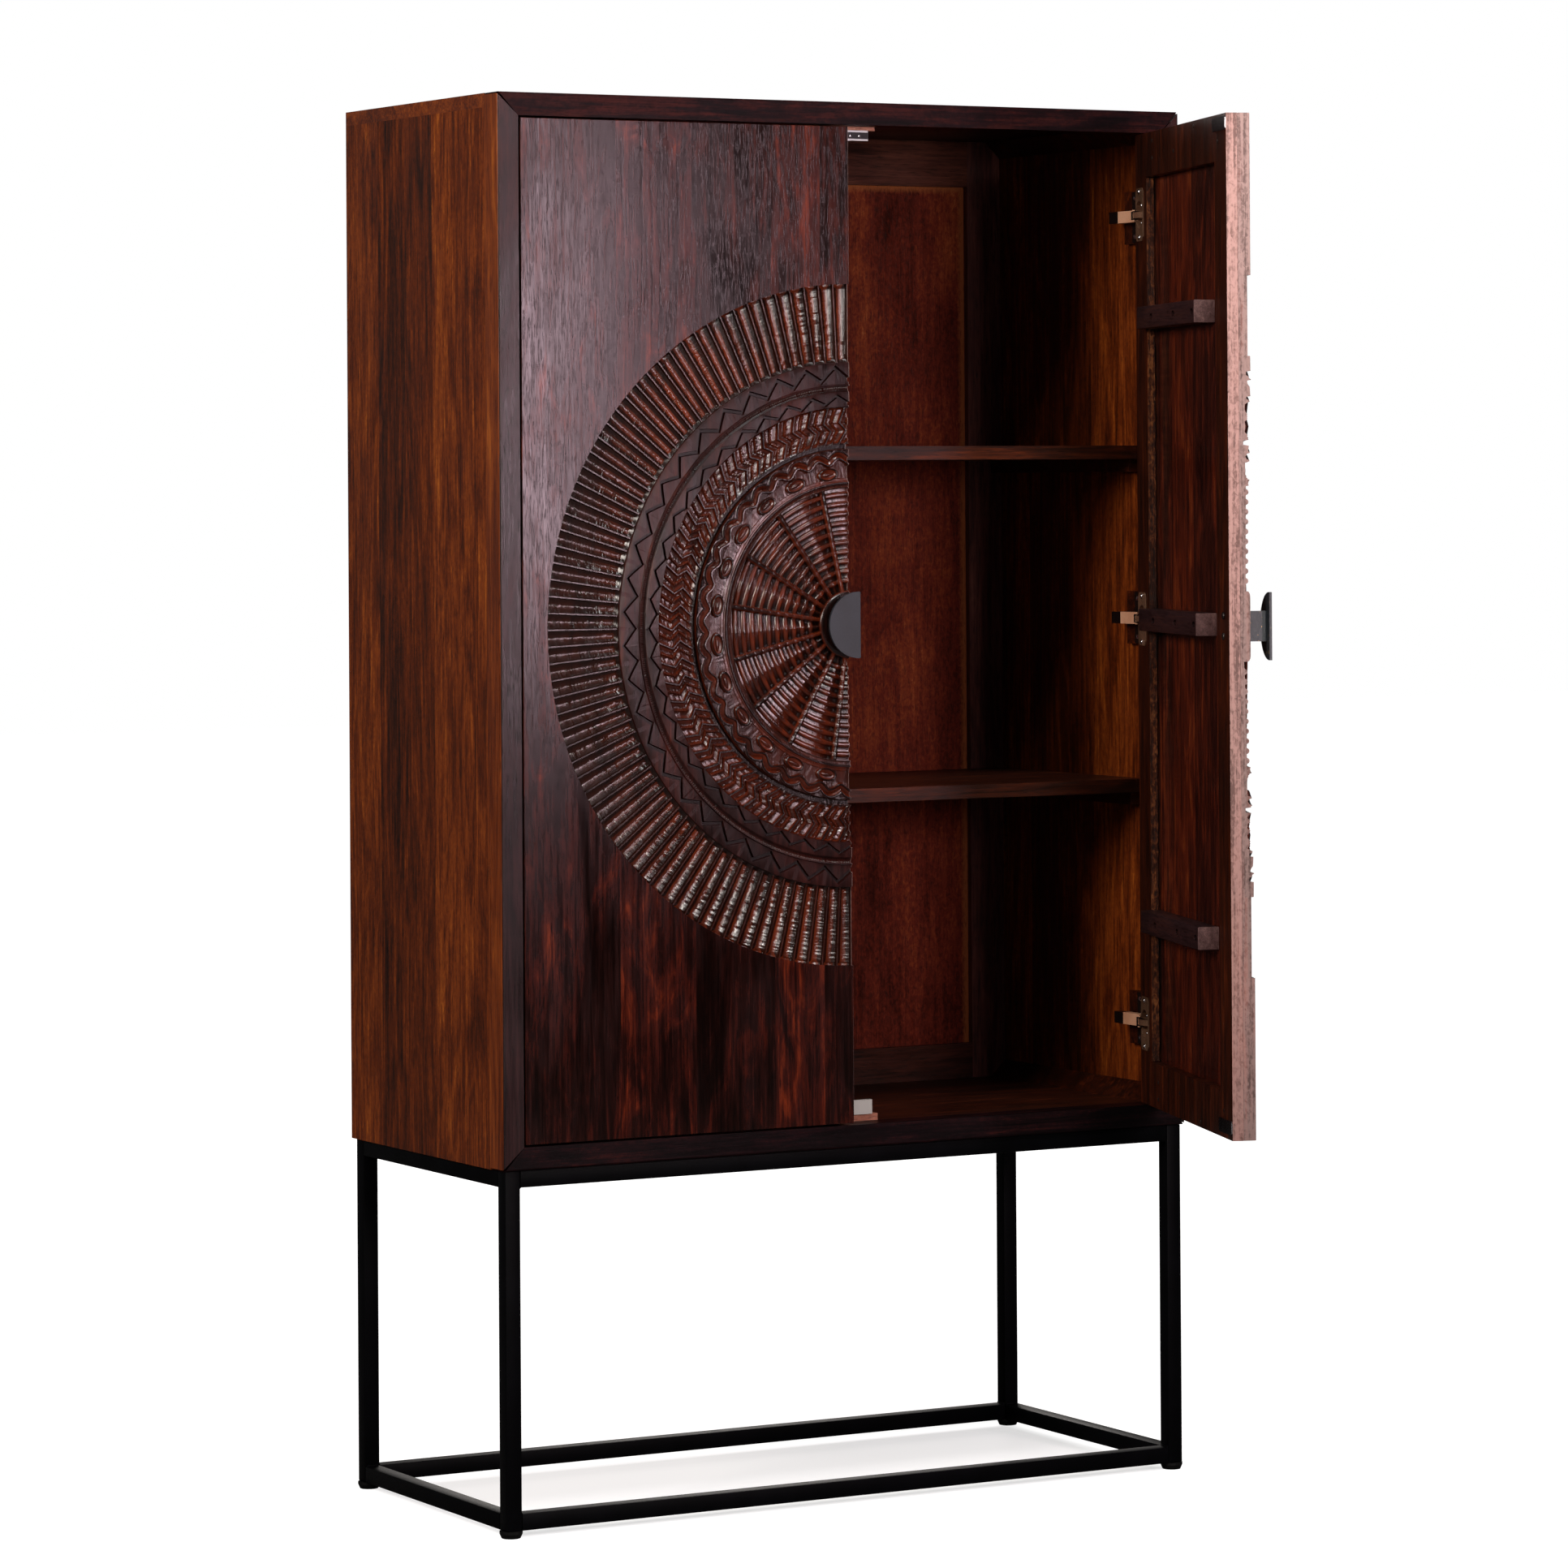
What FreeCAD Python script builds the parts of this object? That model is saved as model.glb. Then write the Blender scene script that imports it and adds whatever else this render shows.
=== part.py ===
import FreeCAD, Part
import math
import os

# A tall two-door cabinet of dark stained solid wood on a welded steel stand. Each door carries one
# half of a round carving. All lengths are in millimetres.
# Frame: the origin is on the floor, on the middle line of the front face. +X is to the right as seen
# from the front, +Y runs to the back and +Z is up. The left door is shut and the right door stands open.

V = FreeCAD.Vector

# Four corners count as flat when the last is off the plane of the rest by less than this share
FLAT_LIMIT = 1e-6

# Overall sizes
cabinet_width = 900.0
cabinet_depth = 400.0
carcass_height = 1200.0
stand_height = 400.0
foot_height = 8.0

# Stand of square tube
tube_size = 19.0
tube_wall = 1.5
stand_inset = 4.0
nut_plate_thickness = 6.0

# Levelling feet
foot_top_radius = 13.0
foot_bottom_radius = 10.8
foot_rim_height = 3.0
foot_stud_radius = 3.0
foot_stud_length = 14.0
foot_thread_clearance = 0.05
foot_rib_count = 14

# Carcass panels
side_thickness = 18.0
top_thickness = 16.0
bottom_thickness = 16.0
shelf_thickness = 16.0
shelf_setback = 52.0
upper_shelf_height = 1213.0
lower_shelf_height = 816.0

# Mitred frame round the front
face_width = 26.0
face_depth = 33.0
face_edge_radius = 2.5

# Back: a frame with a thin panel held in its rebate
back_frame_thickness = 20.0
back_stile_width = 47.0
back_top_rail_width = 56.0
back_bottom_rail_reveal = 43.0
back_panel_thickness = 6.0
back_panel_recess = 9.0
back_panel_lap = 6.0

# Strips in the corners of the carcass and under the shelves
corner_strip_leg = 20.0
shelf_cleat_size = 15.0
shelf_cleat_setback = 62.0

# Doors
door_gap = 2.3
door_middle_gap = 2.8
board_thickness = 14.5
door_frame_thickness = 12.5
door_stile_width = 52.0
door_rail_width = 52.0
batten_height = 26.0
batten_depth = 25.0
batten_end_gap = 48.0
batten_spacing = 354.0
right_door_rest_angle = 71.3

# Concealed hinges. Each door turns about an upright line just inside its own front corner.
hinge_axis_inset = 2.5
hinge_axis_depth = 3.4
hinge_end_distance = 94.7
hinge_count = 3
cup_radius = 17.5
cup_edge_distance = 22.0
cup_depth = 11.7
cup_wall = 0.8
cup_bore_depth = 12.0
cup_bore_clearance = 0.15
cup_corner_count = 16
flange_height = 62.5
flange_width = 34.0
flange_thickness = 1.2
flange_corner = 5.0
linkage_inner_radius = 24.2
linkage_outer_radius = 27.2
linkage_clearance = 0.4
linkage_start_angle = 92.0
linkage_end_angle = 146.0
arc_steps = 3
tongue_half_height = 3.4
link_inner_face = 3.8
link_outer_face = 5.0
link_strap_gap = 0.4
link_strap_thickness = 1.2
link_strap_start_angle = 100.0
link_strap_end_angle = 112.0
strap_inset = 1.5
arm_inner_face = 5.4
arm_outer_face = 6.9
arm_web_thickness = 1.5
arm_reach = 13.0
arm_root_inset = 2.5
arm_front_gap = 1.9
arm_web_setback = 6.5
arm_length = 52.0
packer_height = 63.0
packer_length = 46.0
plate_thickness = 2.0
plate_height = 61.0
plate_width = 14.0
plate_setback = 12.0
plate_ridge_half_height = 5.0
plate_ridge_setback = 9.0
plate_ridge_length = 34.0

# Handles: a disc cut straight along the door's edge, carried by a bent bracket
handle_radius = 38.0
handle_corner_count = 48
handle_centre_inset = 2.5
handle_thickness = 3.0
handle_reach = 22.0
bracket_height = 34.0
bracket_thickness = 3.0
bracket_base_width = 23.0
bracket_edge_inset = 10.0

# Catches, their blocks and the strike plates on the doors
top_block_half_width = 53.0
top_block_depth = 45.0
top_block_drop = 14.4
catch_inset = 7.0
catch_length = 36.0
catch_height = 12.0
catch_depth = 22.0
catch_gap = 0.3
magnet_bar_length = 33.0
magnet_bar_height = 2.2
magnet_bar_depth = 1.5
lower_block_half_width = 48.5
lower_block_depth = 27.0
lower_block_height = 8.0
lower_catch_length = 32.0
lower_catch_height = 16.5
lower_catch_foot_depth = 20.0
lower_catch_thickness = 6.0
strike_length = 56.0
strike_height = 15.5
strike_thickness = 1.5
strike_end_inset = 0.6
upper_strike_inset = 3.0
lower_strike_inset = 6.0
strike_corner = 2.0

# Carving. Widths of its rings from the rim inwards, and depths below the face of the board.
carving_radius = 391.0
flute_ring_width = 90.0
outer_band_width = 26.0
cove_width = 7.5
inner_band_width = 16.0
chevron_ring_width = 44.0
groove_width = 6.5
wave_ring_width = 17.0
oval_ring_width = 20.5
bead_width = 7.5
hub_radius = 39.0
flute_crest_depth = 4.0
flute_floor_depth = 7.6
outer_band_depth = 1.5
cove_depth = 7.6
inner_band_depth = 1.9
chevron_crest_depth = 3.0
chevron_floor_depth = 6.8
groove_depth = 9.4
wave_crest_depth = 3.0
oval_ground_depth = 7.6
bead_crest_depth = 3.1
fan_rim_depth = 5.0
fan_hub_depth = 7.8
hub_depth = 8.0
flute_count = 64
flute_crest_width = 1.8
flute_floor_width = 4.0
flute_end_gap = 0.6
chevron_count = 35
chevron_crest_width = 1.6
chevron_end_gap = 0.5
chevron_radius_shares = (0.0, 0.41, 0.64, 1.0)
chevron_turn_shares = (0.0, 0.38, -0.04, 0.52)
ridge_pitch = 11.0
ridge_height = 1.9
spoke_count = 8
spoke_width = 6.0
spoke_depth = 4.6
fan_end_gap = 1.0

# Cuts run this far past the faces that they open
overrun = 1.0

# Places worked out from the sizes above
half_width = cabinet_width / 2
carcass_bottom = foot_height + stand_height
carcass_top = carcass_bottom + carcass_height
frame_inside_x = half_width - face_width
side_inside_x = half_width - side_thickness
floor_level = carcass_bottom + face_width
ceiling_level = carcass_top - top_thickness
back_frame_front = cabinet_depth - back_frame_thickness

door_thickness = board_thickness + door_frame_thickness
door_outer_x = frame_inside_x - door_gap
door_inner_x = door_middle_gap / 2
door_bottom = floor_level + door_gap
door_top = carcass_top - face_width - door_gap
door_centre_z = (door_bottom + door_top) / 2

axis_x = door_outer_x - hinge_axis_inset
axis_y = hinge_axis_depth

flute_inner_radius = carving_radius - flute_ring_width
cove_outer_radius = flute_inner_radius - outer_band_width
cove_inner_radius = cove_outer_radius - cove_width
chevron_outer_radius = cove_inner_radius - inner_band_width
chevron_inner_radius = chevron_outer_radius - chevron_ring_width
wave_outer_radius = chevron_inner_radius - groove_width
oval_outer_radius = wave_outer_radius - wave_ring_width
bead_outer_radius = oval_outer_radius - oval_ring_width
fan_radius = bead_outer_radius - bead_width


def box(x_range, y_range, z_range):
    """A box between three pairs of limits."""
    size = V(x_range[1] - x_range[0], y_range[1] - y_range[0], z_range[1] - z_range[0])
    return Part.makeBox(size.x, size.y, size.z, V(x_range[0], y_range[0], z_range[0]))


def around(middle, full_size):
    """The limits of a size centred on a middle value."""
    return (middle - full_size / 2, middle + full_size / 2)


def prism(points, along):
    """A solid made by moving a flat closed outline along a vector."""
    outline = Part.makePolygon(points + [points[0]])
    return Part.Face(outline).extrude(along)


def clipped_plate(x_range, y_range, z_range, corner):
    """A plate facing the front or back, with its four upright corners cut off."""
    (left, right), (low, high) = x_range, z_range
    outline = [
        V(left + corner, y_range[0], low),
        V(right - corner, y_range[0], low),
        V(right, y_range[0], low + corner),
        V(right, y_range[0], high - corner),
        V(right - corner, y_range[0], high),
        V(left + corner, y_range[0], high),
        V(left, y_range[0], high - corner),
        V(left, y_range[0], low + corner),
    ]
    return prism(outline, V(0, y_range[1] - y_range[0], 0))


def side_panels(corners):
    """One flat face for four corners in a plane, or two triangles where they are not."""
    first, second, third, fourth = corners
    normal = (second - first).cross(third - first)
    if abs(normal.dot(fourth - first)) <= FLAT_LIMIT * normal.Length * (fourth - first).Length:
        outlines = [corners]
    else:
        outlines = [[first, second, third], [first, third, fourth]]
    return [Part.Face(Part.makePolygon(outline + [outline[0]])) for outline in outlines]


def faceted(sections):
    """A solid with flat faces through a row of sections with equal numbers of corners."""
    faces = [Part.Face(Part.makePolygon(end + [end[0]])) for end in (sections[0], sections[-1])]
    for near, far in zip(sections, sections[1:]):
        for index, corner in enumerate(near):
            following = (index + 1) % len(near)
            faces += side_panels([corner, near[following], far[following], far[index]])
    solid = Part.makeSolid(Part.makeShell(faces))
    if solid.Volume < 0:
        solid.reverse()
    return solid


def regular_polygon(centre, radius, corner_count):
    """Corners of a level regular polygon."""
    turns = [2 * math.pi * index / corner_count for index in range(corner_count)]
    return [centre + V(math.cos(turn), math.sin(turn), 0) * radius for turn in turns]


def round_bar(centre, radius, along, corner_count):
    """A bar with many flat sides, standing up or running from front to back."""
    ring = regular_polygon(V(0, 0, 0), radius, corner_count)
    if along.y:
        ring = [V(corner.x, 0, corner.y) for corner in ring]
    return prism([centre + corner for corner in ring], along)


def mirrored(shape):
    """The same shape on the other side of the cabinet's middle plane."""
    return shape.mirror(V(0, 0, 0), V(1, 0, 0))


def both_sides(shapes):
    """A list of shapes and their mirror images."""
    return shapes + [mirrored(shape) for shape in shapes]


def turned(shape, angle):
    """A copy of a shape turned about the right door's hinge line."""
    copy = shape.copy()
    copy.rotate(V(axis_x, axis_y, 0), V(0, 0, 1), angle)
    return copy


def at_height(shape, height):
    """A copy of a shape lifted by a height."""
    copy = shape.copy()
    copy.translate(V(0, 0, height))
    return copy


def hinge_heights():
    """Heights of the three hinges of a door, from the lowest up."""
    lowest = door_bottom + hinge_end_distance
    spacing = (door_top - hinge_end_distance - lowest) / (hinge_count - 1)
    return [lowest + index * spacing for index in range(hinge_count)]


# Stand

def square_tube(start, along, length):
    """A square tube with its outer corner at start, running along one axis."""
    across = V(1, 1, 1) - along
    outer = across * tube_size + along * length
    inner = across * (tube_size - 2 * tube_wall) + along * (length + 2 * overrun)
    bore_start = start + across * tube_wall - along * overrun
    tube = Part.makeBox(outer.x, outer.y, outer.z, start)
    return tube.cut(Part.makeBox(inner.x, inner.y, inner.z, bore_start))


def stand_leg(x, y):
    """A leg: a tube with a threaded plate closing its lower end."""
    start = V(x, y, foot_height)
    leg = square_tube(start, V(0, 0, 1), stand_height)
    plate_start = start + V(tube_wall, tube_wall, 0)
    plate_size = tube_size - 2 * tube_wall
    plate = Part.makeBox(plate_size, plate_size, nut_plate_thickness, plate_start)
    leg = leg.fuse(plate).removeSplitter()
    centre = start + V(tube_size / 2, tube_size / 2, -overrun)
    bore_radius = foot_stud_radius + foot_thread_clearance
    bore_depth = V(0, 0, nut_plate_thickness + 2 * overrun)
    return leg.cut(round_bar(centre, bore_radius, bore_depth, foot_rib_count))


def levelling_foot(x, y):
    """A ribbed foot with its threaded stud, under the middle of a leg."""
    levels = (
        (foot_bottom_radius, 0),
        (foot_top_radius, foot_height - foot_rim_height),
        (foot_top_radius, foot_height),
    )
    centre = V(x + tube_size / 2, y + tube_size / 2, 0)
    rings = [regular_polygon(centre + V(0, 0, z), radius, foot_rib_count) for radius, z in levels]
    stud_start = centre + V(0, 0, foot_height)
    stud = round_bar(stud_start, foot_stud_radius, V(0, 0, foot_stud_length), foot_rib_count)
    return faceted(rings).fuse(stud).removeSplitter()


def stand_parts():
    """All tubes and feet of the stand by node name."""
    left = -half_width + stand_inset
    right = half_width - stand_inset - tube_size
    front = stand_inset
    rear = cabinet_depth - stand_inset - tube_size
    parts = {}
    for end, y in (("front", front), ("rear", rear)):
        for side, x in (("left", left), ("right", right)):
            parts[f"stand_leg_{end}_{side}"] = stand_leg(x, y)
            parts[f"levelling_foot_{end}_{side}"] = levelling_foot(x, y)
    inner_length = right - left - tube_size
    inner_depth = rear - front - tube_size
    levels = (("upper", carcass_bottom - tube_size), ("lower", foot_height))
    for level, z in levels:
        for end, y in (("front", front), ("rear", rear)):
            start = V(left + tube_size, y, z)
            parts[f"stand_{level}_rail_{end}"] = square_tube(start, V(1, 0, 0), inner_length)
        for side, x in (("left", left), ("right", right)):
            start = V(x, front + tube_size, z)
            parts[f"stand_{level}_rail_{side}"] = square_tube(start, V(0, 1, 0), inner_depth)
    return parts


# Front face frame

def rounded_section(width, depth, radius):
    """A rectangle in the XY plane from the origin, with the corner at (width, 0) rounded."""
    arc_middle = radius * (1 - math.sqrt(2) / 2)
    corner = Part.Arc(V(width - radius, 0, 0), V(width - arc_middle, arc_middle, 0), V(width, radius, 0))
    edges = [
        Part.LineSegment(V(0, 0, 0), V(width - radius, 0, 0)).toShape(),
        corner.toShape(),
        Part.LineSegment(V(width, radius, 0), V(width, depth, 0)).toShape(),
        Part.LineSegment(V(width, depth, 0), V(0, depth, 0)).toShape(),
        Part.LineSegment(V(0, depth, 0), V(0, 0, 0)).toShape(),
    ]
    return Part.Face(Part.Wire(edges))


def mitred_bar(length):
    """A bar of the face frame standing on z = 0, its outer face at x = face_width, mitred at both ends."""
    bar = rounded_section(face_width, face_depth, face_edge_radius).extrude(V(0, 0, length))
    reach = face_width + overrun
    for end, way in ((0.0, 1), (length, -1)):
        corner = V(face_width, -overrun, end)
        wedge = prism(
            [
                corner + V(overrun, 0, way * overrun),
                corner + V(-reach, 0, way * reach),
                corner + V(-reach, 0, -way * overrun),
                corner + V(overrun, 0, -way * overrun),
            ],
            V(0, face_depth + 2 * overrun, 0),
        )
        bar = bar.cut(wedge)
    return bar


def face_frame_parts():
    """The four mitred bars round the front."""
    stile = mitred_bar(carcass_height)
    stile.translate(V(frame_inside_x, 0, carcass_bottom))
    rail = mitred_bar(cabinet_width)
    rail.rotate(V(0, 0, 0), V(0, 1, 0), -90)
    top_rail = rail.copy()
    top_rail.translate(V(half_width, 0, carcass_top - face_width))
    bottom_rail = rail.mirror(V(0, 0, 0), V(0, 0, 1))
    bottom_rail.translate(V(half_width, 0, floor_level))
    return {
        "face_stile_right": stile,
        "face_stile_left": mirrored(stile),
        "face_rail_top": top_rail,
        "face_rail_bottom": bottom_rail,
    }


# Carcass

def carcass_parts():
    """Sides, top and bottom panels, shelves and the strips that carry them."""
    depth_range = (face_depth, cabinet_depth)
    inside_range = (-side_inside_x, side_inside_x)
    clear_depth = (face_depth, back_frame_front)
    side = box((side_inside_x, half_width), depth_range, (carcass_bottom, ceiling_level))
    parts = {
        "side_panel_right": side,
        "side_panel_left": mirrored(side),
        "top_panel": box((-half_width, half_width), depth_range, (ceiling_level, carcass_top)),
        "bottom_panel": box(inside_range, clear_depth, (floor_level - bottom_thickness, floor_level)),
    }
    cleats = []
    for name, level in (("upper_shelf", upper_shelf_height), ("lower_shelf", lower_shelf_height)):
        underside = level - shelf_thickness
        parts[name] = box(inside_range, (shelf_setback, back_frame_front), (underside, level))
        cleat_x = (side_inside_x - shelf_cleat_size, side_inside_x)
        cleat_y = (shelf_cleat_setback, back_frame_front)
        cleats.append(box(cleat_x, cleat_y, (underside - shelf_cleat_size, underside)))
    parts["shelf_cleats"] = Part.makeCompound(both_sides(cleats))
    strips = []
    for level, way in ((floor_level, 1), (ceiling_level, -1)):
        corner = V(side_inside_x, face_depth, level)
        legs = [corner, corner - V(corner_strip_leg, 0, 0), corner + V(0, 0, way * corner_strip_leg)]
        strips.append(prism(legs, V(0, back_frame_front - face_depth, 0)))
    parts["corner_strips"] = Part.makeCompound(both_sides(strips))
    return parts


def back_parts():
    """The back: stiles, rails between them, and a panel in their rebate."""
    y_range = (back_frame_front, cabinet_depth)
    stile_inside = side_inside_x - back_stile_width
    opening_z = (floor_level + back_bottom_rail_reveal, ceiling_level - back_top_rail_width)
    panel_front = back_frame_front + back_panel_recess
    panel_x = (-stile_inside - back_panel_lap, stile_inside + back_panel_lap)
    panel_z = (opening_z[0] - back_panel_lap, opening_z[1] + back_panel_lap)
    rebate = box(panel_x, (panel_front, cabinet_depth + overrun), panel_z)
    stile = box((stile_inside, side_inside_x), y_range, (carcass_bottom, ceiling_level)).cut(rebate)
    rail_x = (-stile_inside, stile_inside)
    return {
        "back_stile_right": stile,
        "back_stile_left": mirrored(stile),
        "back_rail_top": box(rail_x, y_range, (opening_z[1], ceiling_level)).cut(rebate),
        "back_rail_bottom": box(rail_x, y_range, (carcass_bottom, opening_z[0])).cut(rebate),
        "back_panel": box(panel_x, (panel_front, panel_front + back_panel_thickness), panel_z),
    }


# Catches

def catch_parts():
    """Blocks, magnetic catches below the top and the grey catches by the floor."""
    block_bottom = ceiling_level - top_block_drop
    top_x = (-top_block_half_width, top_block_half_width)
    top_block = box(top_x, (face_depth, face_depth + top_block_depth), (block_bottom, ceiling_level))
    front = door_thickness + strike_thickness + catch_gap
    case_front = front + magnet_bar_depth
    case_x = (catch_inset, catch_inset + catch_length)
    case_z = (block_bottom - catch_height, block_bottom)
    case = box(case_x, (case_front, front + catch_depth), case_z)
    bar_x = around(catch_inset + catch_length / 2, magnet_bar_length)
    bars = [
        box(bar_x, (front, case_front), (case_z[0], case_z[0] + magnet_bar_height)),
        box(bar_x, (front, case_front), (case_z[1] - magnet_bar_height, case_z[1])),
    ]
    lower_x = (-lower_block_half_width, lower_block_half_width)
    lower_y = (face_depth, face_depth + lower_block_depth)
    lower_top = floor_level + lower_block_height
    lower_block = box(lower_x, lower_y, (floor_level, lower_top))
    grey_x = (catch_inset, catch_inset + lower_catch_length)
    upright_y = (front, front + lower_catch_thickness)
    upright = box(grey_x, upright_y, (lower_top, lower_top + lower_catch_height))
    foot_z = (lower_top, lower_top + lower_catch_thickness / 2)
    foot = box(grey_x, (front, front + lower_catch_foot_depth), foot_z)
    grey = upright.fuse(foot).removeSplitter()
    return {
        "upper_catch_block": top_block,
        "lower_catch_block": lower_block,
        "magnetic_catch_cases": Part.makeCompound(both_sides([case])),
        "magnetic_catch_bars": Part.makeCompound(both_sides(bars)),
        "lower_catches": Part.makeCompound(both_sides([grey])),
    }


# Hinges

def sector(radii, angles, heights):
    """A round piece of ring about the right hinge line, between two radii, angles and heights."""
    foot = V(axis_x, axis_y, heights[0])
    rise = heights[1] - heights[0]
    outer = Part.makeCylinder(radii[1], rise, foot, V(0, 0, 1), angles[1] - angles[0])
    inner = Part.makeCylinder(radii[0], rise + 2 * overrun, foot - V(0, 0, overrun))
    ring = outer.cut(inner)
    ring.rotate(foot, V(0, 0, 1), angles[0])
    return ring


def cheek(heights):
    """A curved cheek beside the tongue, bent in flat steps that keep between the tongue's two radii."""
    step = math.radians(linkage_end_angle - linkage_start_angle) / arc_steps
    turns = [math.radians(linkage_start_angle) + index * step for index in range(arc_steps + 1)]
    foot = V(axis_x, axis_y, heights[0])
    inner_radius = linkage_inner_radius / math.cos(step / 2)
    outer = [foot + V(math.cos(turn), math.sin(turn), 0) * linkage_outer_radius for turn in turns]
    inner = [foot + V(math.cos(turn), math.sin(turn), 0) * inner_radius for turn in reversed(turns)]
    return prism(outer + inner, V(0, 0, heights[1] - heights[0]))


def beside(inner, outer):
    """Two height ranges, above and below the middle."""
    return ((inner, outer), (-outer, -inner))


def hinge_cup():
    """A hinge cup with flange, notch and the tongue that the links hold, at height zero."""
    centre_x = door_outer_x - cup_edge_distance
    back = door_thickness
    cup = round_bar(V(centre_x, back - cup_depth, 0), cup_radius, V(0, cup_depth, 0), cup_corner_count)
    flange_y = (back, back + flange_thickness)
    flange = clipped_plate(around(centre_x, flange_width), flange_y, around(0, flange_height), flange_corner)
    cavity_start = V(centre_x, back - cup_depth + cup_wall, 0)
    cavity_length = V(0, cup_depth + flange_thickness + overrun, 0)
    cavity = round_bar(cavity_start, cup_radius - cup_wall, cavity_length, cup_corner_count)
    body = cup.fuse(flange).cut(cavity)
    notch_half = arm_outer_face + linkage_clearance
    notch_x = (centre_x, door_outer_x)
    notch = box(notch_x, (back, back + flange_thickness + overrun), (-notch_half, notch_half))
    body = body.cut(notch)
    radii = (linkage_inner_radius, linkage_outer_radius)
    angles = (linkage_start_angle, linkage_end_angle)
    tongue = sector(radii, angles, (-tongue_half_height, tongue_half_height))
    tip = math.radians(linkage_end_angle)
    web_x = axis_x + linkage_outer_radius * math.cos(tip)
    web_y = (back - cup_depth, axis_y + linkage_outer_radius * math.sin(tip))
    web_width = linkage_outer_radius - linkage_inner_radius
    web = box((web_x, web_x + web_width), web_y, (-tongue_half_height, tongue_half_height))
    return body.fuse([tongue, web]).removeSplitter()


def hinge_link():
    """Two curved cheeks joined by a strap behind the tongue, at height zero."""
    strap_angles = (link_strap_start_angle, link_strap_end_angle)
    strap_inner = linkage_outer_radius + link_strap_gap
    strap_outer = strap_inner + link_strap_thickness
    pieces = []
    for heights in beside(link_inner_face, link_outer_face):
        pieces.append(cheek(heights))
        pieces.append(sector((linkage_inner_radius + strap_inset, strap_outer), strap_angles, heights))
    strap = sector((strap_inner, strap_outer), strap_angles, (-link_outer_face, link_outer_face))
    return strap.fuse(pieces).removeSplitter()


def hinge_arm():
    """The arm: a channel whose cheeks curve on into the cup, at height zero."""
    cheek_x = (axis_x - arm_reach, axis_x - arm_root_inset)
    front = door_thickness + arm_front_gap
    web_front = door_thickness + arm_web_setback
    back = web_front + arm_length
    web_x = (cheek_x[0], cheek_x[0] + arm_web_thickness)
    pieces = []
    for heights in beside(arm_inner_face, arm_outer_face):
        pieces.append(cheek(heights))
        pieces.append(box(cheek_x, (front, back), heights))
    web = box(web_x, (web_front, back), (-arm_outer_face, arm_outer_face))
    return web.fuse(pieces).removeSplitter()


def mounting_plate():
    """The plate that carries an arm: a wing and a ridge, at height zero."""
    back_x = frame_inside_x
    wing_front = face_depth + plate_setback
    wing_y = (wing_front, wing_front + plate_width)
    wing = box((back_x - plate_thickness, back_x), wing_y, around(0, plate_height))
    ridge_x = (axis_x - arm_reach + arm_web_thickness, back_x)
    ridge_start = face_depth + plate_ridge_setback
    ridge_y = (ridge_start, ridge_start + plate_ridge_length)
    ridge = box(ridge_x, ridge_y, (-plate_ridge_half_height, plate_ridge_half_height))
    return wing.fuse(ridge).removeSplitter()


def hinge_packer():
    """The wooden block between the side panel and a mounting plate, at height zero."""
    y_range = (face_depth, face_depth + packer_length)
    return box((frame_inside_x, side_inside_x), y_range, around(0, packer_height))


def fixed_hinge_parts():
    """The hinge pieces that stay on the carcass, for both doors."""
    nodes = {
        "hinge_packers": hinge_packer(),
        "hinge_mounting_plates": mounting_plate(),
        "hinge_arms": hinge_arm(),
    }
    heights = hinge_heights()
    return {
        name: Part.makeCompound(both_sides([at_height(piece, z) for z in heights]))
        for name, piece in nodes.items()
    }


# Carving

def polar(radius, angle, depth):
    """A point of the carving, by radius, angle in degrees above the +X side, and depth."""
    turn = math.radians(angle)
    return V(radius * math.cos(turn), depth, door_centre_z + radius * math.sin(turn))


def carving_profile():
    """Corners of the carving's radial section, from the rim to the hub, as (radius, depth)."""
    cove_middle = (cove_outer_radius + cove_inner_radius) / 2
    groove_middle = (chevron_inner_radius + wave_outer_radius) / 2
    bead_middle = (bead_outer_radius + fan_radius) / 2
    return [
        (carving_radius, flute_crest_depth),
        (flute_inner_radius, flute_crest_depth),
        (flute_inner_radius, outer_band_depth),
        (cove_outer_radius, outer_band_depth),
        (cove_middle, cove_depth),
        (cove_inner_radius, inner_band_depth),
        (chevron_outer_radius, inner_band_depth),
        (chevron_outer_radius, chevron_crest_depth),
        (chevron_inner_radius, chevron_crest_depth),
        (groove_middle, groove_depth),
        (wave_outer_radius, wave_crest_depth),
        (oval_outer_radius, wave_crest_depth),
        (oval_outer_radius, oval_ground_depth),
        (bead_outer_radius, oval_ground_depth),
        (bead_middle, bead_crest_depth),
        (fan_radius, spoke_depth),
        (hub_radius, spoke_depth),
        (hub_radius, hub_depth),
    ]


def carved_hollow():
    """The half-round space that the carving's rings leave in front of the board."""
    corners = carving_profile()
    points = [V(carving_radius, -overrun, 0)]
    points += [V(radius, depth, 0) for radius, depth in corners]
    points += [V(0, hub_depth, 0), V(0, -overrun, 0)]
    section = Part.Face(Part.makePolygon(points + [points[0]]))
    section.rotate(V(0, 0, 0), V(0, 1, 0), -90)
    hollow = section.revolve(V(0, 0, 0), V(0, 1, 0), 180)
    return at_height(hollow, door_centre_z)


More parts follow.
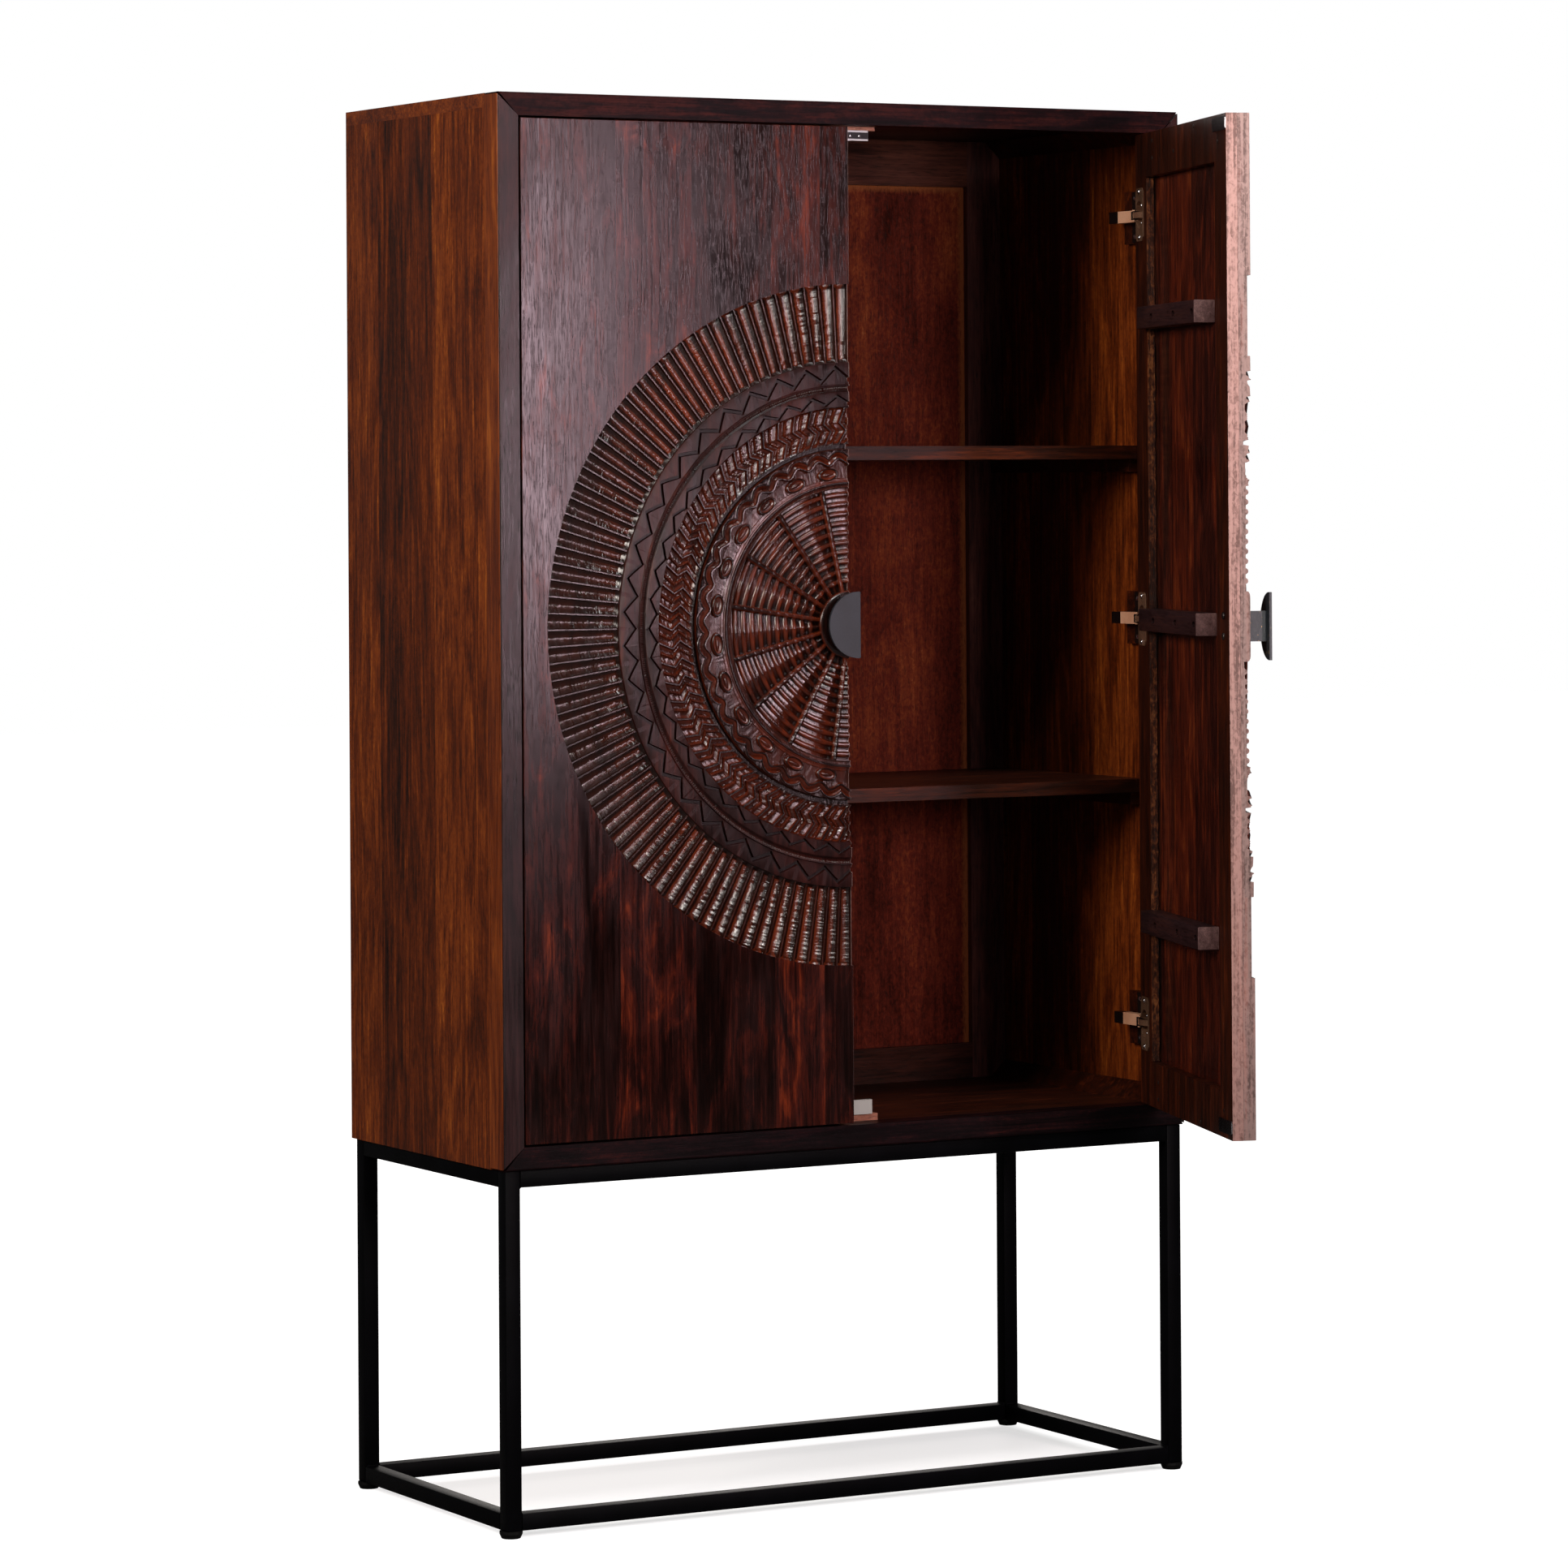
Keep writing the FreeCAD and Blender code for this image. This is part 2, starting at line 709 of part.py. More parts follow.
def trough(stations, top_depth, floor_width):
    """A sloping-sided cutter through stations of (radius, angle, top width, floor depth)."""
    sections = []
    for radius, angle, top_width, floor_depth in stations:
        centre = polar(radius, angle, 0)
        turn = math.radians(angle)
        top_side = V(-math.sin(turn), 0, math.cos(turn)) * (top_width / 2)
        floor_side = V(-math.sin(turn), 0, math.cos(turn)) * (floor_width / 2)
        floor = [centre - floor_side + V(0, floor_depth, 0)]
        if floor_width:
            floor.append(centre + floor_side + V(0, floor_depth, 0))
        air = V(0, top_depth - overrun, 0)
        top = V(0, top_depth, 0)
        near = [centre - top_side + air, centre - top_side + top]
        far = [centre + top_side + top, centre + top_side + air]
        sections.append(near + floor + far)
    return faceted(sections)


def flute_cutters():
    """One sloping trough between each two flute crests."""
    step = 180 / flute_count
    outer = carving_radius - flute_end_gap
    inner = flute_inner_radius + flute_end_gap
    cutters = []
    for index in range(flute_count):
        angle = (index + 1 / 2) * step - 90
        stations = []
        for radius in (outer, inner):
            top_width = radius * math.radians(step) - flute_crest_width
            stations.append((radius, angle, top_width, flute_floor_depth))
        cutters.append(trough(stations, flute_crest_depth, flute_floor_width))
    return cutters


def chevron_cutters():
    """One bent trough between each two chevron crests."""
    step = 180 / chevron_count
    start = chevron_outer_radius - chevron_end_gap
    reach = chevron_ring_width - 2 * chevron_end_gap
    cutters = []
    for index in range(chevron_count):
        angle = (index + 3 / 4) * step - 90
        stations = []
        for along, turn in zip(chevron_radius_shares, chevron_turn_shares):
            radius = start - along * reach
            top_width = radius * math.radians(step) - chevron_crest_width
            stations.append((radius, angle - turn * step, top_width, chevron_floor_depth))
        cutters.append(trough(stations, chevron_crest_depth, 0))
    return cutters


def fan_profile():
    """Corners of the fan's ridges between rim and hub, as (radius, depth)."""
    outer = fan_radius - fan_end_gap
    inner = hub_radius + fan_end_gap
    ridge_count = int((outer - inner) / ridge_pitch)
    pitch = (outer - inner) / ridge_count
    corners = []
    for index in range(2 * ridge_count + 1):
        share = index / (2 * ridge_count)
        crest = fan_rim_depth + share * (fan_hub_depth - fan_rim_depth)
        valley = ridge_height if index % 2 == 0 else 0
        corners.append((outer - index * pitch / 2, crest + valley))
    return corners


def fan_cutters():
    """One ridged hollow between each two spokes, which stay standing."""
    step = 180 / spoke_count
    profile = fan_profile()
    cutters = []
    for index in range(spoke_count + 1):
        middle = math.radians(index * step - 90)
        sections = []
        for side in (-1, 1):
            spoke = middle + side * math.radians(step / 2)
            direction = V(math.cos(spoke), 0, math.sin(spoke))
            shift = V(math.sin(spoke), 0, -math.cos(spoke)) * (side * spoke_width / 2)
            base = V(0, 0, door_centre_z) + shift
            points = [base + direction * radius + V(0, depth, 0) for radius, depth in profile]
            for radius in (profile[-1][0], profile[0][0]):
                points.append(base + direction * radius - V(0, overrun, 0))
            sections.append(points)
        cutters.append(faceted(sections))
    return cutters


def carved_board():
    """The front board of the right door, shut, with its half of the carving."""
    board = box((door_inner_x, door_outer_x), (0, board_thickness), (door_bottom, door_top))
    board = board.cut(carved_hollow())
    return board.cut(flute_cutters() + chevron_cutters() + fan_cutters())


# Doors

def handle_parts():
    """The plate and its bent bracket on the right door, shut."""
    plate_y = (-handle_reach, -handle_reach + handle_thickness)
    centre_x = door_inner_x + handle_centre_inset
    centre = V(centre_x, plate_y[0], door_centre_z)
    plate = round_bar(centre, handle_radius, V(0, handle_thickness, 0), handle_corner_count)
    trim_x = (door_inner_x - 2 * handle_radius, door_inner_x)
    plate_z = around(door_centre_z, 2 * handle_radius + 2 * overrun)
    plate = plate.cut(box(trim_x, (plate_y[0] - overrun, plate_y[1] + overrun), plate_z))
    bracket_x = door_inner_x + bracket_edge_inset
    bracket_z = around(door_centre_z, bracket_height)
    web = box((bracket_x, bracket_x + bracket_thickness), (plate_y[1], hub_depth), bracket_z)
    base_y = (hub_depth - bracket_thickness, hub_depth)
    base = box((bracket_x, bracket_x + bracket_base_width), base_y, bracket_z)
    return plate.fuse([web, base]).removeSplitter()


def strike_plate(low_z):
    """A strike plate on the back of the right door, its lower edge at a height."""
    x_start = door_inner_x + strike_end_inset
    y_range = (door_thickness, door_thickness + strike_thickness)
    x_range = (x_start, x_start + strike_length)
    return clipped_plate(x_range, y_range, (low_z, low_z + strike_height), strike_corner)


def shut_door_parts():
    """Every piece of the right door, in its shut place."""
    frame_y = (board_thickness, door_thickness)
    full_z = (door_bottom, door_top)
    hinge_stile = box((door_outer_x - door_stile_width, door_outer_x), frame_y, full_z)
    free_stile = box((door_inner_x, door_inner_x + door_stile_width), frame_y, full_z)
    bore_start = V(door_outer_x - cup_edge_distance, door_thickness - cup_bore_depth, 0)
    bore_radius = cup_radius + cup_bore_clearance
    bore = round_bar(bore_start, bore_radius, V(0, cup_bore_depth + overrun, 0), cup_corner_count)
    hinge_stile = hinge_stile.cut([at_height(bore, z) for z in hinge_heights()])
    rail_x = (door_inner_x + door_stile_width, door_outer_x - door_stile_width)
    rails = [
        box(rail_x, frame_y, (door_bottom, door_bottom + door_rail_width)),
        box(rail_x, frame_y, (door_top - door_rail_width, door_top)),
    ]
    batten_x = (rail_x[0] + batten_end_gap, rail_x[1])
    batten_y = (board_thickness, board_thickness + batten_depth)
    middles = (door_centre_z - batten_spacing, door_centre_z, door_centre_z + batten_spacing)
    battens = [box(batten_x, batten_y, around(z, batten_height)) for z in middles]
    strikes = [
        strike_plate(door_top - upper_strike_inset - strike_height),
        strike_plate(door_bottom + lower_strike_inset),
    ]
    cup = hinge_cup()
    return {
        "board": carved_board(),
        "hinge_stile": hinge_stile,
        "free_stile": free_stile,
        "rails": Part.makeCompound(rails),
        "battens": Part.makeCompound(battens),
        "hinge_cups": Part.makeCompound([at_height(cup, z) for z in hinge_heights()]),
        "handle": handle_parts(),
        "strike_plates": Part.makeCompound(strikes),
    }


def door_parts():
    """The left door shut, the right door open, and the hinge links half way between door and carcass."""
    parts = {}
    for name, shape in shut_door_parts().items():
        parts[f"left_door_{name}"] = mirrored(shape)
        parts[f"right_door_{name}"] = turned(shape, right_door_rest_angle)
    link = hinge_link()
    links = Part.makeCompound([at_height(link, z) for z in hinge_heights()])
    parts["left_hinge_links"] = mirrored(links)
    parts["right_hinge_links"] = turned(links, right_door_rest_angle / 2)
    return parts


def main():
    """Write each piece of the cabinet to its own file."""
    os.makedirs("parts", exist_ok=True)
    parts = {}
    for group in (stand_parts, face_frame_parts, carcass_parts, back_parts, catch_parts):
        parts.update(group())
    parts.update(fixed_hinge_parts())
    parts.update(door_parts())
    for name, shape in parts.items():
        shape.exportStep(f"parts/{name}.step")
        print(name, len(shape.Solids), "solids", round(shape.Volume / 1000, 1), "cm3", shape.isValid())
    print(len(parts), "nodes")


main()
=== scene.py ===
"""Tall cabinet of dark stained mango wood on a black steel stand, with a round carving across its doors.

Lengths are in millimetres unless a name says otherwise, and MM turns them to metres. What the doors have
is modelled once, on the shut left door; the right door is its mirror image, turned open about its hinges.
"""

import logging
import math
from dataclasses import dataclass, replace
from enum import Enum

import bmesh
import bpy
import numpy as np
from mathutils import Matrix, Vector


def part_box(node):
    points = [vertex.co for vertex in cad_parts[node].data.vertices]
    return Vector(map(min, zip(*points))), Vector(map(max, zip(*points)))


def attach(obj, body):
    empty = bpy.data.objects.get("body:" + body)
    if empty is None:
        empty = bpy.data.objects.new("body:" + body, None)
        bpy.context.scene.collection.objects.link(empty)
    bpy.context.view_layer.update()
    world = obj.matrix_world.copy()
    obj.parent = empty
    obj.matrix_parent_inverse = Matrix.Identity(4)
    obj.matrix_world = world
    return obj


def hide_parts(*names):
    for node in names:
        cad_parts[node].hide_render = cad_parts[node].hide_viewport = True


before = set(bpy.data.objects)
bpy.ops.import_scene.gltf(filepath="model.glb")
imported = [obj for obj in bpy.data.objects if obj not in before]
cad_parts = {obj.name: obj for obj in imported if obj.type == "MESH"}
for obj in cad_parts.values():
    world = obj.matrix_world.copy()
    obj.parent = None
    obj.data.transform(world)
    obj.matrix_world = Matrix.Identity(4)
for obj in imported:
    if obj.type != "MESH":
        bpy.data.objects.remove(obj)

log = logging.getLogger("cabinet")

MM = 0.001
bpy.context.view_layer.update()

Piece = bpy.types.Object
Tree = bpy.types.NodeTree
Socket = bpy.types.NodeSocket
Finishes = dict[str, bpy.types.Material]
Span = tuple[float, float]
Place = tuple[float, float, float]
Ramp = tuple[tuple[float, str | float], ...]


class Side(Enum):
    """The two doors, by the side of the cabinet they hang on."""

    LEFT = "left"
    RIGHT = "right"


class Grain(Enum):
    """The direction in which the fibres of a piece run, as the turn that lays it along Z."""

    UPRIGHT = (0.0, 0.0, 0.0)
    SIDE = (0.0, 0.0, -math.pi / 2)
    ACROSS = (0.0, math.pi / 2, 0.0)
    FLAT = (0.0, math.pi / 2, -math.pi / 2)


class Axis(Enum):
    """The direction of a rod, as the turn that lays it there from Z."""

    X = (0, math.pi / 2, 0)
    Y = (math.pi / 2, 0, 0)


@dataclass(frozen=True)
class DoorPlan:
    """Where the doors and their hinge lines are."""

    outer_x: float = 421.7
    inner_x: float = 1.4
    bottom: float = 436.3
    top: float = 1579.7
    board: float = 14.5
    thickness: float = 27.0
    stile: float = 52.0
    hinge_x: float = 419.2
    hinge_y: float = 3.4
    open_degrees: float = 71.3

    @property
    def centre_z(self) -> float:
        """Height of the middle of the doors."""
        return (self.bottom + self.top) / 2

    def placing(self, side: Side) -> Matrix:
        """The move that brings a piece modelled on the shut left door to a door at rest.

        Args:
            side: The door that the piece is for.

        Returns:
            A matrix in metres.
        """
        if side is Side.LEFT:
            return Matrix.Identity(4)
        pivot = Vector((self.hinge_x, self.hinge_y, 0.0)) * MM
        turn = Matrix.Rotation(math.radians(self.open_degrees), 4, "Z")
        mirror = Matrix.Scale(-1.0, 4, Vector((1, 0, 0)))
        return Matrix.Translation(pivot) @ turn @ Matrix.Translation(-pivot) @ mirror


DOOR = DoorPlan()


# ---- Modelling helpers


def linear(code: str) -> tuple[float, float, float, float]:
    """Turns an sRGB hex colour to linear.

    Args:
        code: A colour such as "#402010".

    Returns:
        Red, green, blue and alpha.
    """
    parts = [int(code[i : i + 2], 16) / 255 for i in (1, 3, 5)]
    return tuple(p / 12.92 if p <= 0.04045 else ((p + 0.055) / 1.055) ** 2.4 for p in parts) + (1.0,)


def deselect() -> None:
    """Leaves edit mode and deselects every object."""
    if bpy.context.mode != "OBJECT":
        bpy.ops.object.mode_set(mode="OBJECT")
    bpy.ops.object.select_all(action="DESELECT")


def only(piece: Piece) -> Piece:
    """Makes one object the selected and active one.

    Args:
        piece: The object.

    Returns:
        The same object.
    """
    deselect()
    piece.select_set(True)
    bpy.context.view_layer.objects.active = piece
    return piece


def named(name: str) -> Piece:
    """Names the object that an operator has just added and settles its place in its mesh.

    Args:
        name: The object's name.

    Returns:
        The object.
    """
    piece = only(bpy.context.active_object)
    piece.name = piece.data.name = name
    bpy.ops.object.transform_apply(location=True, rotation=True, scale=True)
    return piece


def smooth(piece: Piece, angle: float) -> Piece:
    """Shades a piece smooth across the edges that turn less than an angle.

    Args:
        piece: The piece.
        angle: The angle, in radians.

    Returns:
        The same piece.
    """
    only(piece)
    bpy.ops.object.shade_smooth_by_angle(angle=angle)
    return piece


def rounded(piece: Piece, ease: float, sharp: float = 0.6) -> Piece:
    """Rounds a piece's edges in two steps and shades it smooth between them.

    Args:
        piece: The piece.
        ease: Radius of the edges; none are rounded at zero.
        sharp: Edges that turn more than this, in radians, are rounded.

    Returns:
        The same piece.
    """
    only(piece)
    if ease > 0:
        bevel = piece.modifiers.new("ease", "BEVEL")
        bevel.width = ease * MM
        bevel.segments = 2
        bevel.limit_method = "ANGLE"
        bevel.angle_limit = sharp
        bevel.harden_normals = False
        bpy.ops.object.modifier_apply(modifier=bevel.name)
    return smooth(piece, sharp)


def block(name: str, x: Span, y: Span, z: Span, ease: float = 0.8) -> Piece:
    """A straight piece of timber or metal with eased edges.

    Args:
        name: The piece's name.
        x: Its limits from left to right.
        y: Its limits from front to back.
        z: Its limits upwards.
        ease: The radius of its edges.

    Returns:
        The piece.
    """
    deselect()
    low, high = Vector((x[0], y[0], z[0])) * MM, Vector((x[1], y[1], z[1])) * MM
    bpy.ops.mesh.primitive_cube_add(size=1, location=(low + high) / 2)
    bpy.context.active_object.scale = high - low
    return rounded(named(name), ease)


def rod(name: str, radius: float, length: float, middle: Place, axis: Axis, corners: int) -> Piece:
    """A round rod.

    Args:
        name: The rod's name.
        radius: Its radius.
        length: Its length.
        middle: The place of its middle.
        axis: The direction that it lies in.
        corners: Number of its corners.

    Returns:
        The rod.
    """
    deselect()
    bpy.ops.mesh.primitive_cylinder_add(
        vertices=corners, radius=radius * MM, depth=length * MM, location=Vector(middle) * MM,
        rotation=axis.value,
    )
    return named(name)


def cut(piece: Piece, cutter: Piece) -> Piece:
    """Takes a cutter's form out of a piece and removes the cutter.

    Args:
        piece: The piece.
        cutter: The form to take away.

    Returns:
        The same piece.
    """
    only(piece)
    tool = piece.modifiers.new("cut", "BOOLEAN")
    tool.object = cutter
    tool.operation = "DIFFERENCE"
    tool.solver = "EXACT"
    bpy.ops.object.modifier_apply(modifier=tool.name)
    bpy.data.objects.remove(cutter)
    return piece


def joined(name: str, pieces: list[Piece]) -> Piece:
    """Joins pieces into one object.

    Args:
        name: The name of what they make.
        pieces: The pieces.

    Returns:
        The object.
    """
    only(pieces[0])
    for piece in pieces[1:]:
        piece.select_set(True)
    if len(pieces) > 1:
        bpy.ops.object.join()
    return named(name)


def turned_form(name: str, outline: int, steps: list[Span], place: Matrix) -> Piece:
    """A form drawn up from a flat outline: each step is extruded, then scaled about the middle.

    Args:
        name: The piece's name.
        outline: Number of corners of the outline.
        steps: Pairs of radius and height, the first one being the outline itself.
        place: The move from the form's own frame, which stands along Z, to its place.

    Returns:
        The piece.
    """
    deselect()
    radius, height = steps[0]
    bpy.ops.mesh.primitive_circle_add(
        vertices=outline, radius=radius * MM, fill_type="NGON", location=(0, 0, height * MM)
    )
    bpy.ops.object.mode_set(mode="EDIT")
    bpy.ops.mesh.select_all(action="SELECT")
    for (near, low), (far, high) in zip(steps, steps[1:]):
        bpy.ops.mesh.extrude_region_move(TRANSFORM_OT_translate={"value": (0, 0, (high - low) * MM)})
        share = far / near
        bpy.ops.transform.resize(value=(share, share, 1), center_override=(0, 0, high * MM))
    bpy.ops.mesh.select_all(action="SELECT")
    bpy.ops.mesh.normals_make_consistent(inside=False)
    bpy.ops.object.mode_set(mode="OBJECT")
    piece = named(name)
    piece.data.transform(place)
    if place.determinant() < 0:
        piece.data.flip_normals()
    return piece


def at(x: float, y: float, z: float) -> Matrix:
    """A move to a place in millimetres."""
    return Matrix.Translation(Vector((x, y, z)) * MM)


def facing(direction: Place) -> Matrix:
    """The turn that points a form's own Z along a direction."""
    return Vector((0, 0, 1)).rotation_difference(Vector(direction)).to_matrix().to_4x4()


def copy_to(piece: Piece, name: str, place: Matrix) -> Piece:
    """A copy of a piece with its own mesh, moved.

    Args:
        piece: The piece to copy.
        name: The copy's name.
        place: The move, which may mirror.

    Returns:
        The copy.
    """
    twin = piece.copy()
    twin.data = piece.data.copy()
    twin.name = twin.data.name = name
    bpy.context.scene.collection.objects.link(twin)
    twin.data.transform(place)
    if place.determinant() < 0:
        twin.data.flip_normals()
    return twin


def finish_piece(piece: Piece, body: str, slot: str, material: bpy.types.Material, *nodes: str) -> None:
    """Dresses a piece, sets it on its body and hides the nodes that it stands for.

    Args:
        piece: The piece.
        body: The body that it moves with.
        slot: The record's material slot; not used.
        material: Its finish.
        nodes: The nodes that it replaces.
    """
    piece.data.materials.clear()
    piece.data.materials.append(material)
    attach(piece, body)
    if nodes:
        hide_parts(*nodes)
    log.info("%s: %d faces of %s on %s", piece.name, len(piece.data.polygons), material.name, body)


def dress(node: str, material: bpy.types.Material) -> None:
    """Gives a carried-over node its finish.

    Args:
        node: The node.
        material: Its finish.
    """
    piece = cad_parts[node]
    for held in piece.material_slots:
        held.material = material
    if not piece.material_slots:
        piece.data.materials.append(material)
    log.info("%s: carried over in %s", node, material.name)


# ---- Finishes

CHOICES = {"Mix": "data_type", "ValToRGB": "interpolation"}


def fill_ramp(ramp: bpy.types.ColorRamp, stops: Ramp) -> None:
    """Sets the stops of a colour ramp.

    Args:
        ramp: The ramp.
        stops: Pairs of place and colour, or of place and level of grey.
    """
    while len(ramp.elements) < len(stops):
        ramp.elements.new(1.0)
    for element, (place, _) in zip(ramp.elements, stops):
        element.position = place
    for element, (_, colour) in zip(ramp.elements, stops):
        element.color = linear(colour) if isinstance(colour, str) else (colour, colour, colour, 1)


def put(tree: Tree, kind: str, *values: object, **settings: object) -> Socket | None:
    """Adds a node with its settings and links.

    Args:
        tree: The node tree.
        kind: The node's type without its prefix, and after a point its operation, data type or the like.
        values: Numbers, hex colours or outputs for the inputs in use, in their order.
        settings: The same for inputs by name, which start with a capital. "stops" fills a colour ramp,
            and any other one is a property of the node.

    Returns:
        The node's first output in use, if it has one.
    """
    kind, _, choice = kind.partition(".")
    node = tree.nodes.new("ShaderNode" + kind)
    if choice:
        owner = node.color_ramp if kind == "ValToRGB" else node
        setattr(owner, CHOICES.get(kind, "operation"), choice)
    by_name = []
    for key, value in settings.items():
        if key == "stops":
            fill_ramp(node.color_ramp, value)
        elif key[0].isupper():
            by_name.append((node.inputs[key.replace("_", " ")], value))
        else:
            setattr(node, key, value)
    in_use = [socket for socket in node.inputs if socket.enabled]
    for socket, value in [*zip(in_use, values), *by_name]:
        if isinstance(value, Socket):
            tree.links.new(value, socket)
        else:
            socket.default_value = linear(value) if isinstance(value, str) else value
    return next((socket for socket in node.outputs if socket.enabled), None)


def fresh_material(name: str) -> tuple[bpy.types.Material, Tree]:
    """Makes an empty node material.

    Args:
        name: The material's name.

    Returns:
        The material and its tree.
    """
    material = bpy.data.materials.new(name)
    material.use_nodes = True
    material.node_tree.nodes.clear()
    return material, material.node_tree


@dataclass(frozen=True)
class Wood:
    """Mango boards, planed, stained and lacquered by hand.

    To the eye they have long streaks in a tone of their own for each glued stave, blotches where the
    stain went in unevenly, and short dark pores. Shares say how strongly each of these swings the tone.
    """

    title: str
    tones: Ramp
    # Left edge of each stave and its tone, then the last one's right edge
    staves: tuple[Span, ...] = ((-500.0, 0.5), (500.0, 0.5))
    grain: Grain = Grain.UPRIGHT
    roughness: float = 0.38
    ior: float = 1.3
    blotch: float = 0.5
    figure: float = 0.9
    fibre: float = 0.8
    speckle: float = 0.0
    flame: float = 0.0
    stave_tone: float = 0.4
    # Red wood laid bare by the cutter, the share of painted shade in black at each depth, and painted
    # shade towards the hinge side: all of its share at the first place, none at the second
    groove: str = ""
    painted_depth_shade: tuple[Span, ...] = ((0.0, 0.0), (6.8, 0.0), (9.3, 0.92))
    painted_side_shade: tuple = ()
    deepest: float = 12.0
    # Bare wood on the free edge, which starts at this place
    edge: str = ""
    edge_x: float = -2.2
    # Other stains: beyond the cabinet's flanks, behind the board's middle and on the battens' free ends
    flank: Ramp = ()
    flank_x: float = 449.3
    inside: Ramp = ()
    inside_y: float = 10.5
    end_grain: Ramp = ()
    end_x: float = -102.3
    # Half width and top of a panel, and the colour that its rubbed edges have
    worn_frame: tuple = ()
    relief: float = 0.25
    seed: float = 0.0

    def material(self, side: Side = Side.LEFT) -> bpy.types.Material:
        """Builds the finish.

        Args:
            side: The door whose frame the pattern follows; the left one is the cabinet's own frame.

        Returns:
            The material.
        """
        material, tree = fresh_material(f"{self.title} {side.value}" if side is Side.RIGHT else self.title)
        here = put(tree, "TexCoord").node.outputs["Object"]
        if side is Side.RIGHT:
            here = self.unturned(tree, here)
        place = tuple(put(tree, "SeparateXYZ", here).node.outputs)
        tone, looks = self.growth(tree, here)
        colour = put(tree, "ValToRGB", tone, stops=self.tones)
        for share, stain in self.outer_stains(tree, place, tone, looks):
            colour = put(tree, "Mix.RGBA", share, colour, stain)
        pores = put(tree, "MapRange", looks["pore"], 0.54, 0.66, 0.0, 0.6)
        colour = put(tree, "Mix.RGBA", pores, colour, "#30180f", blend_type="MULTIPLY")
        for share, stain in self.cut_wood_and_painted_shade(tree, place, looks):
            colour = put(tree, "Mix.RGBA", share, colour, stain)
        rubbed = put(tree, "Math.MULTIPLY_ADD", looks["blotch"], 1.4, looks["fibre"])
        rough = put(tree, "MapRange", rubbed, 0.9, 1.5, self.roughness - 0.06, self.roughness + 0.1)
        if self.edge:
            near, share = self.free_edge(tree, place, looks)
            colour = put(tree, "Mix.RGBA", share, colour, self.edge)
            rough = put(tree, "Math.MAXIMUM", near, rough)
        height = put(tree, "Math.MULTIPLY_ADD", pores, -1.2, looks["fibre"])
        bump = put(tree, "Bump", Strength=self.relief, Distance=0.4 * MM, Height=height)
        shader = put(tree, "BsdfPrincipled", Base_Color=colour, Roughness=rough, Normal=bump, IOR=self.ior)
        put(tree, "OutputMaterial", shader)
        return material

    def growth(self, tree: Tree, here: Socket) -> tuple[Socket, dict[str, Socket]]:
        """Draws staves, streaks, fibres and blotches.

        Args:
            tree: The node tree.
            here: The point on the piece.

        Returns:
            How light the wood is there, and the noises by name.
        """
        laid = put(tree, "Mapping", here, Rotation=self.grain.value)
        low, high = self.staves[0][0], self.staves[-1][0]
        across = put(tree, "MapRange", put(tree, "SeparateXYZ", laid), low * MM, high * MM, 0.0, 1.0)
        stops = [((edge - low) / (high - low), value) for edge, value in self.staves[:-1]]
        stave = put(tree, "ValToRGB.CONSTANT", across, stops=stops)
        shift = put(tree, "VectorMath.SCALE", (3.7, 5.3, 9.1), stave)
        spread = put(tree, "VectorMath.ADD", laid, shift)
        moved = put(tree, "VectorMath.ADD", spread, (self.seed, self.seed * 2, self.seed * 3))
        looks = {}
        # Cycles in a metre: a streak is 40 mm wide and 280 mm long, a fibre 4 and 110 mm, a pore 1.2 and
        # 17 mm, which is drawn as coarse as it needs to show
        for key, size, detail, distortion in (
            ("broad", (24.0, 24.0, 3.6), 8.0, 2.8),
            ("fibre", (240.0, 240.0, 9.0), 6.0, 0.5),
            ("pore", (820.0, 820.0, 60.0), 3.0, 0.0),
            ("blotch", (7.0, 7.0, 3.5), 3.0, 0.6),
            ("flame", (30.0, 30.0, 8.0), 6.0, 1.6),
            ("speckle", (230.0, 230.0, 150.0), 4.0, 0.8),
        ):
            drawn = put(tree, "VectorMath.MULTIPLY", moved, size)
            noise = {"Scale": 1.0, "Detail": detail, "Roughness": 0.6, "Distortion": distortion}
            looks[key] = put(tree, "TexNoise", drawn, **noise)
        tone = put(tree, "Math.MULTIPLY_ADD", stave, self.stave_tone, 0.5 - self.stave_tone / 2)
        swings = {"broad": self.figure, "fibre": self.fibre, "blotch": self.blotch, "speckle": self.speckle}
        for key, share in swings.items():
            tone = put(tree, "Math.MULTIPLY_ADD", put(tree, "Math.SUBTRACT", looks[key], 0.5), share, tone)
        if self.flame:
            lick = put(tree, "MapRange", looks["flame"], 0.5, 0.72, 0.0, self.flame)
            tone = put(tree, "Math.ADD", lick, tone)
        return tone, looks

    @staticmethod
    def unturned(tree: Tree, here: Socket) -> Socket:
        """Brings points of the open right door back to the shut left one, so that patterns follow it.

        Args:
            tree: The node tree.
            here: The point on the right door.

        Returns:
            The same point on the left door.
        """
        turn = math.radians(DOOR.open_degrees)
        pivot = Vector((DOOR.hinge_x, DOOR.hinge_y, 0.0)) * MM
        rest = pivot - Matrix.Rotation(-turn, 3, "Z") @ pivot
        return put(tree, "Mapping", here, (-rest.x, rest.y, 0.0), (0.0, 0.0, turn), (-1, 1, 1))

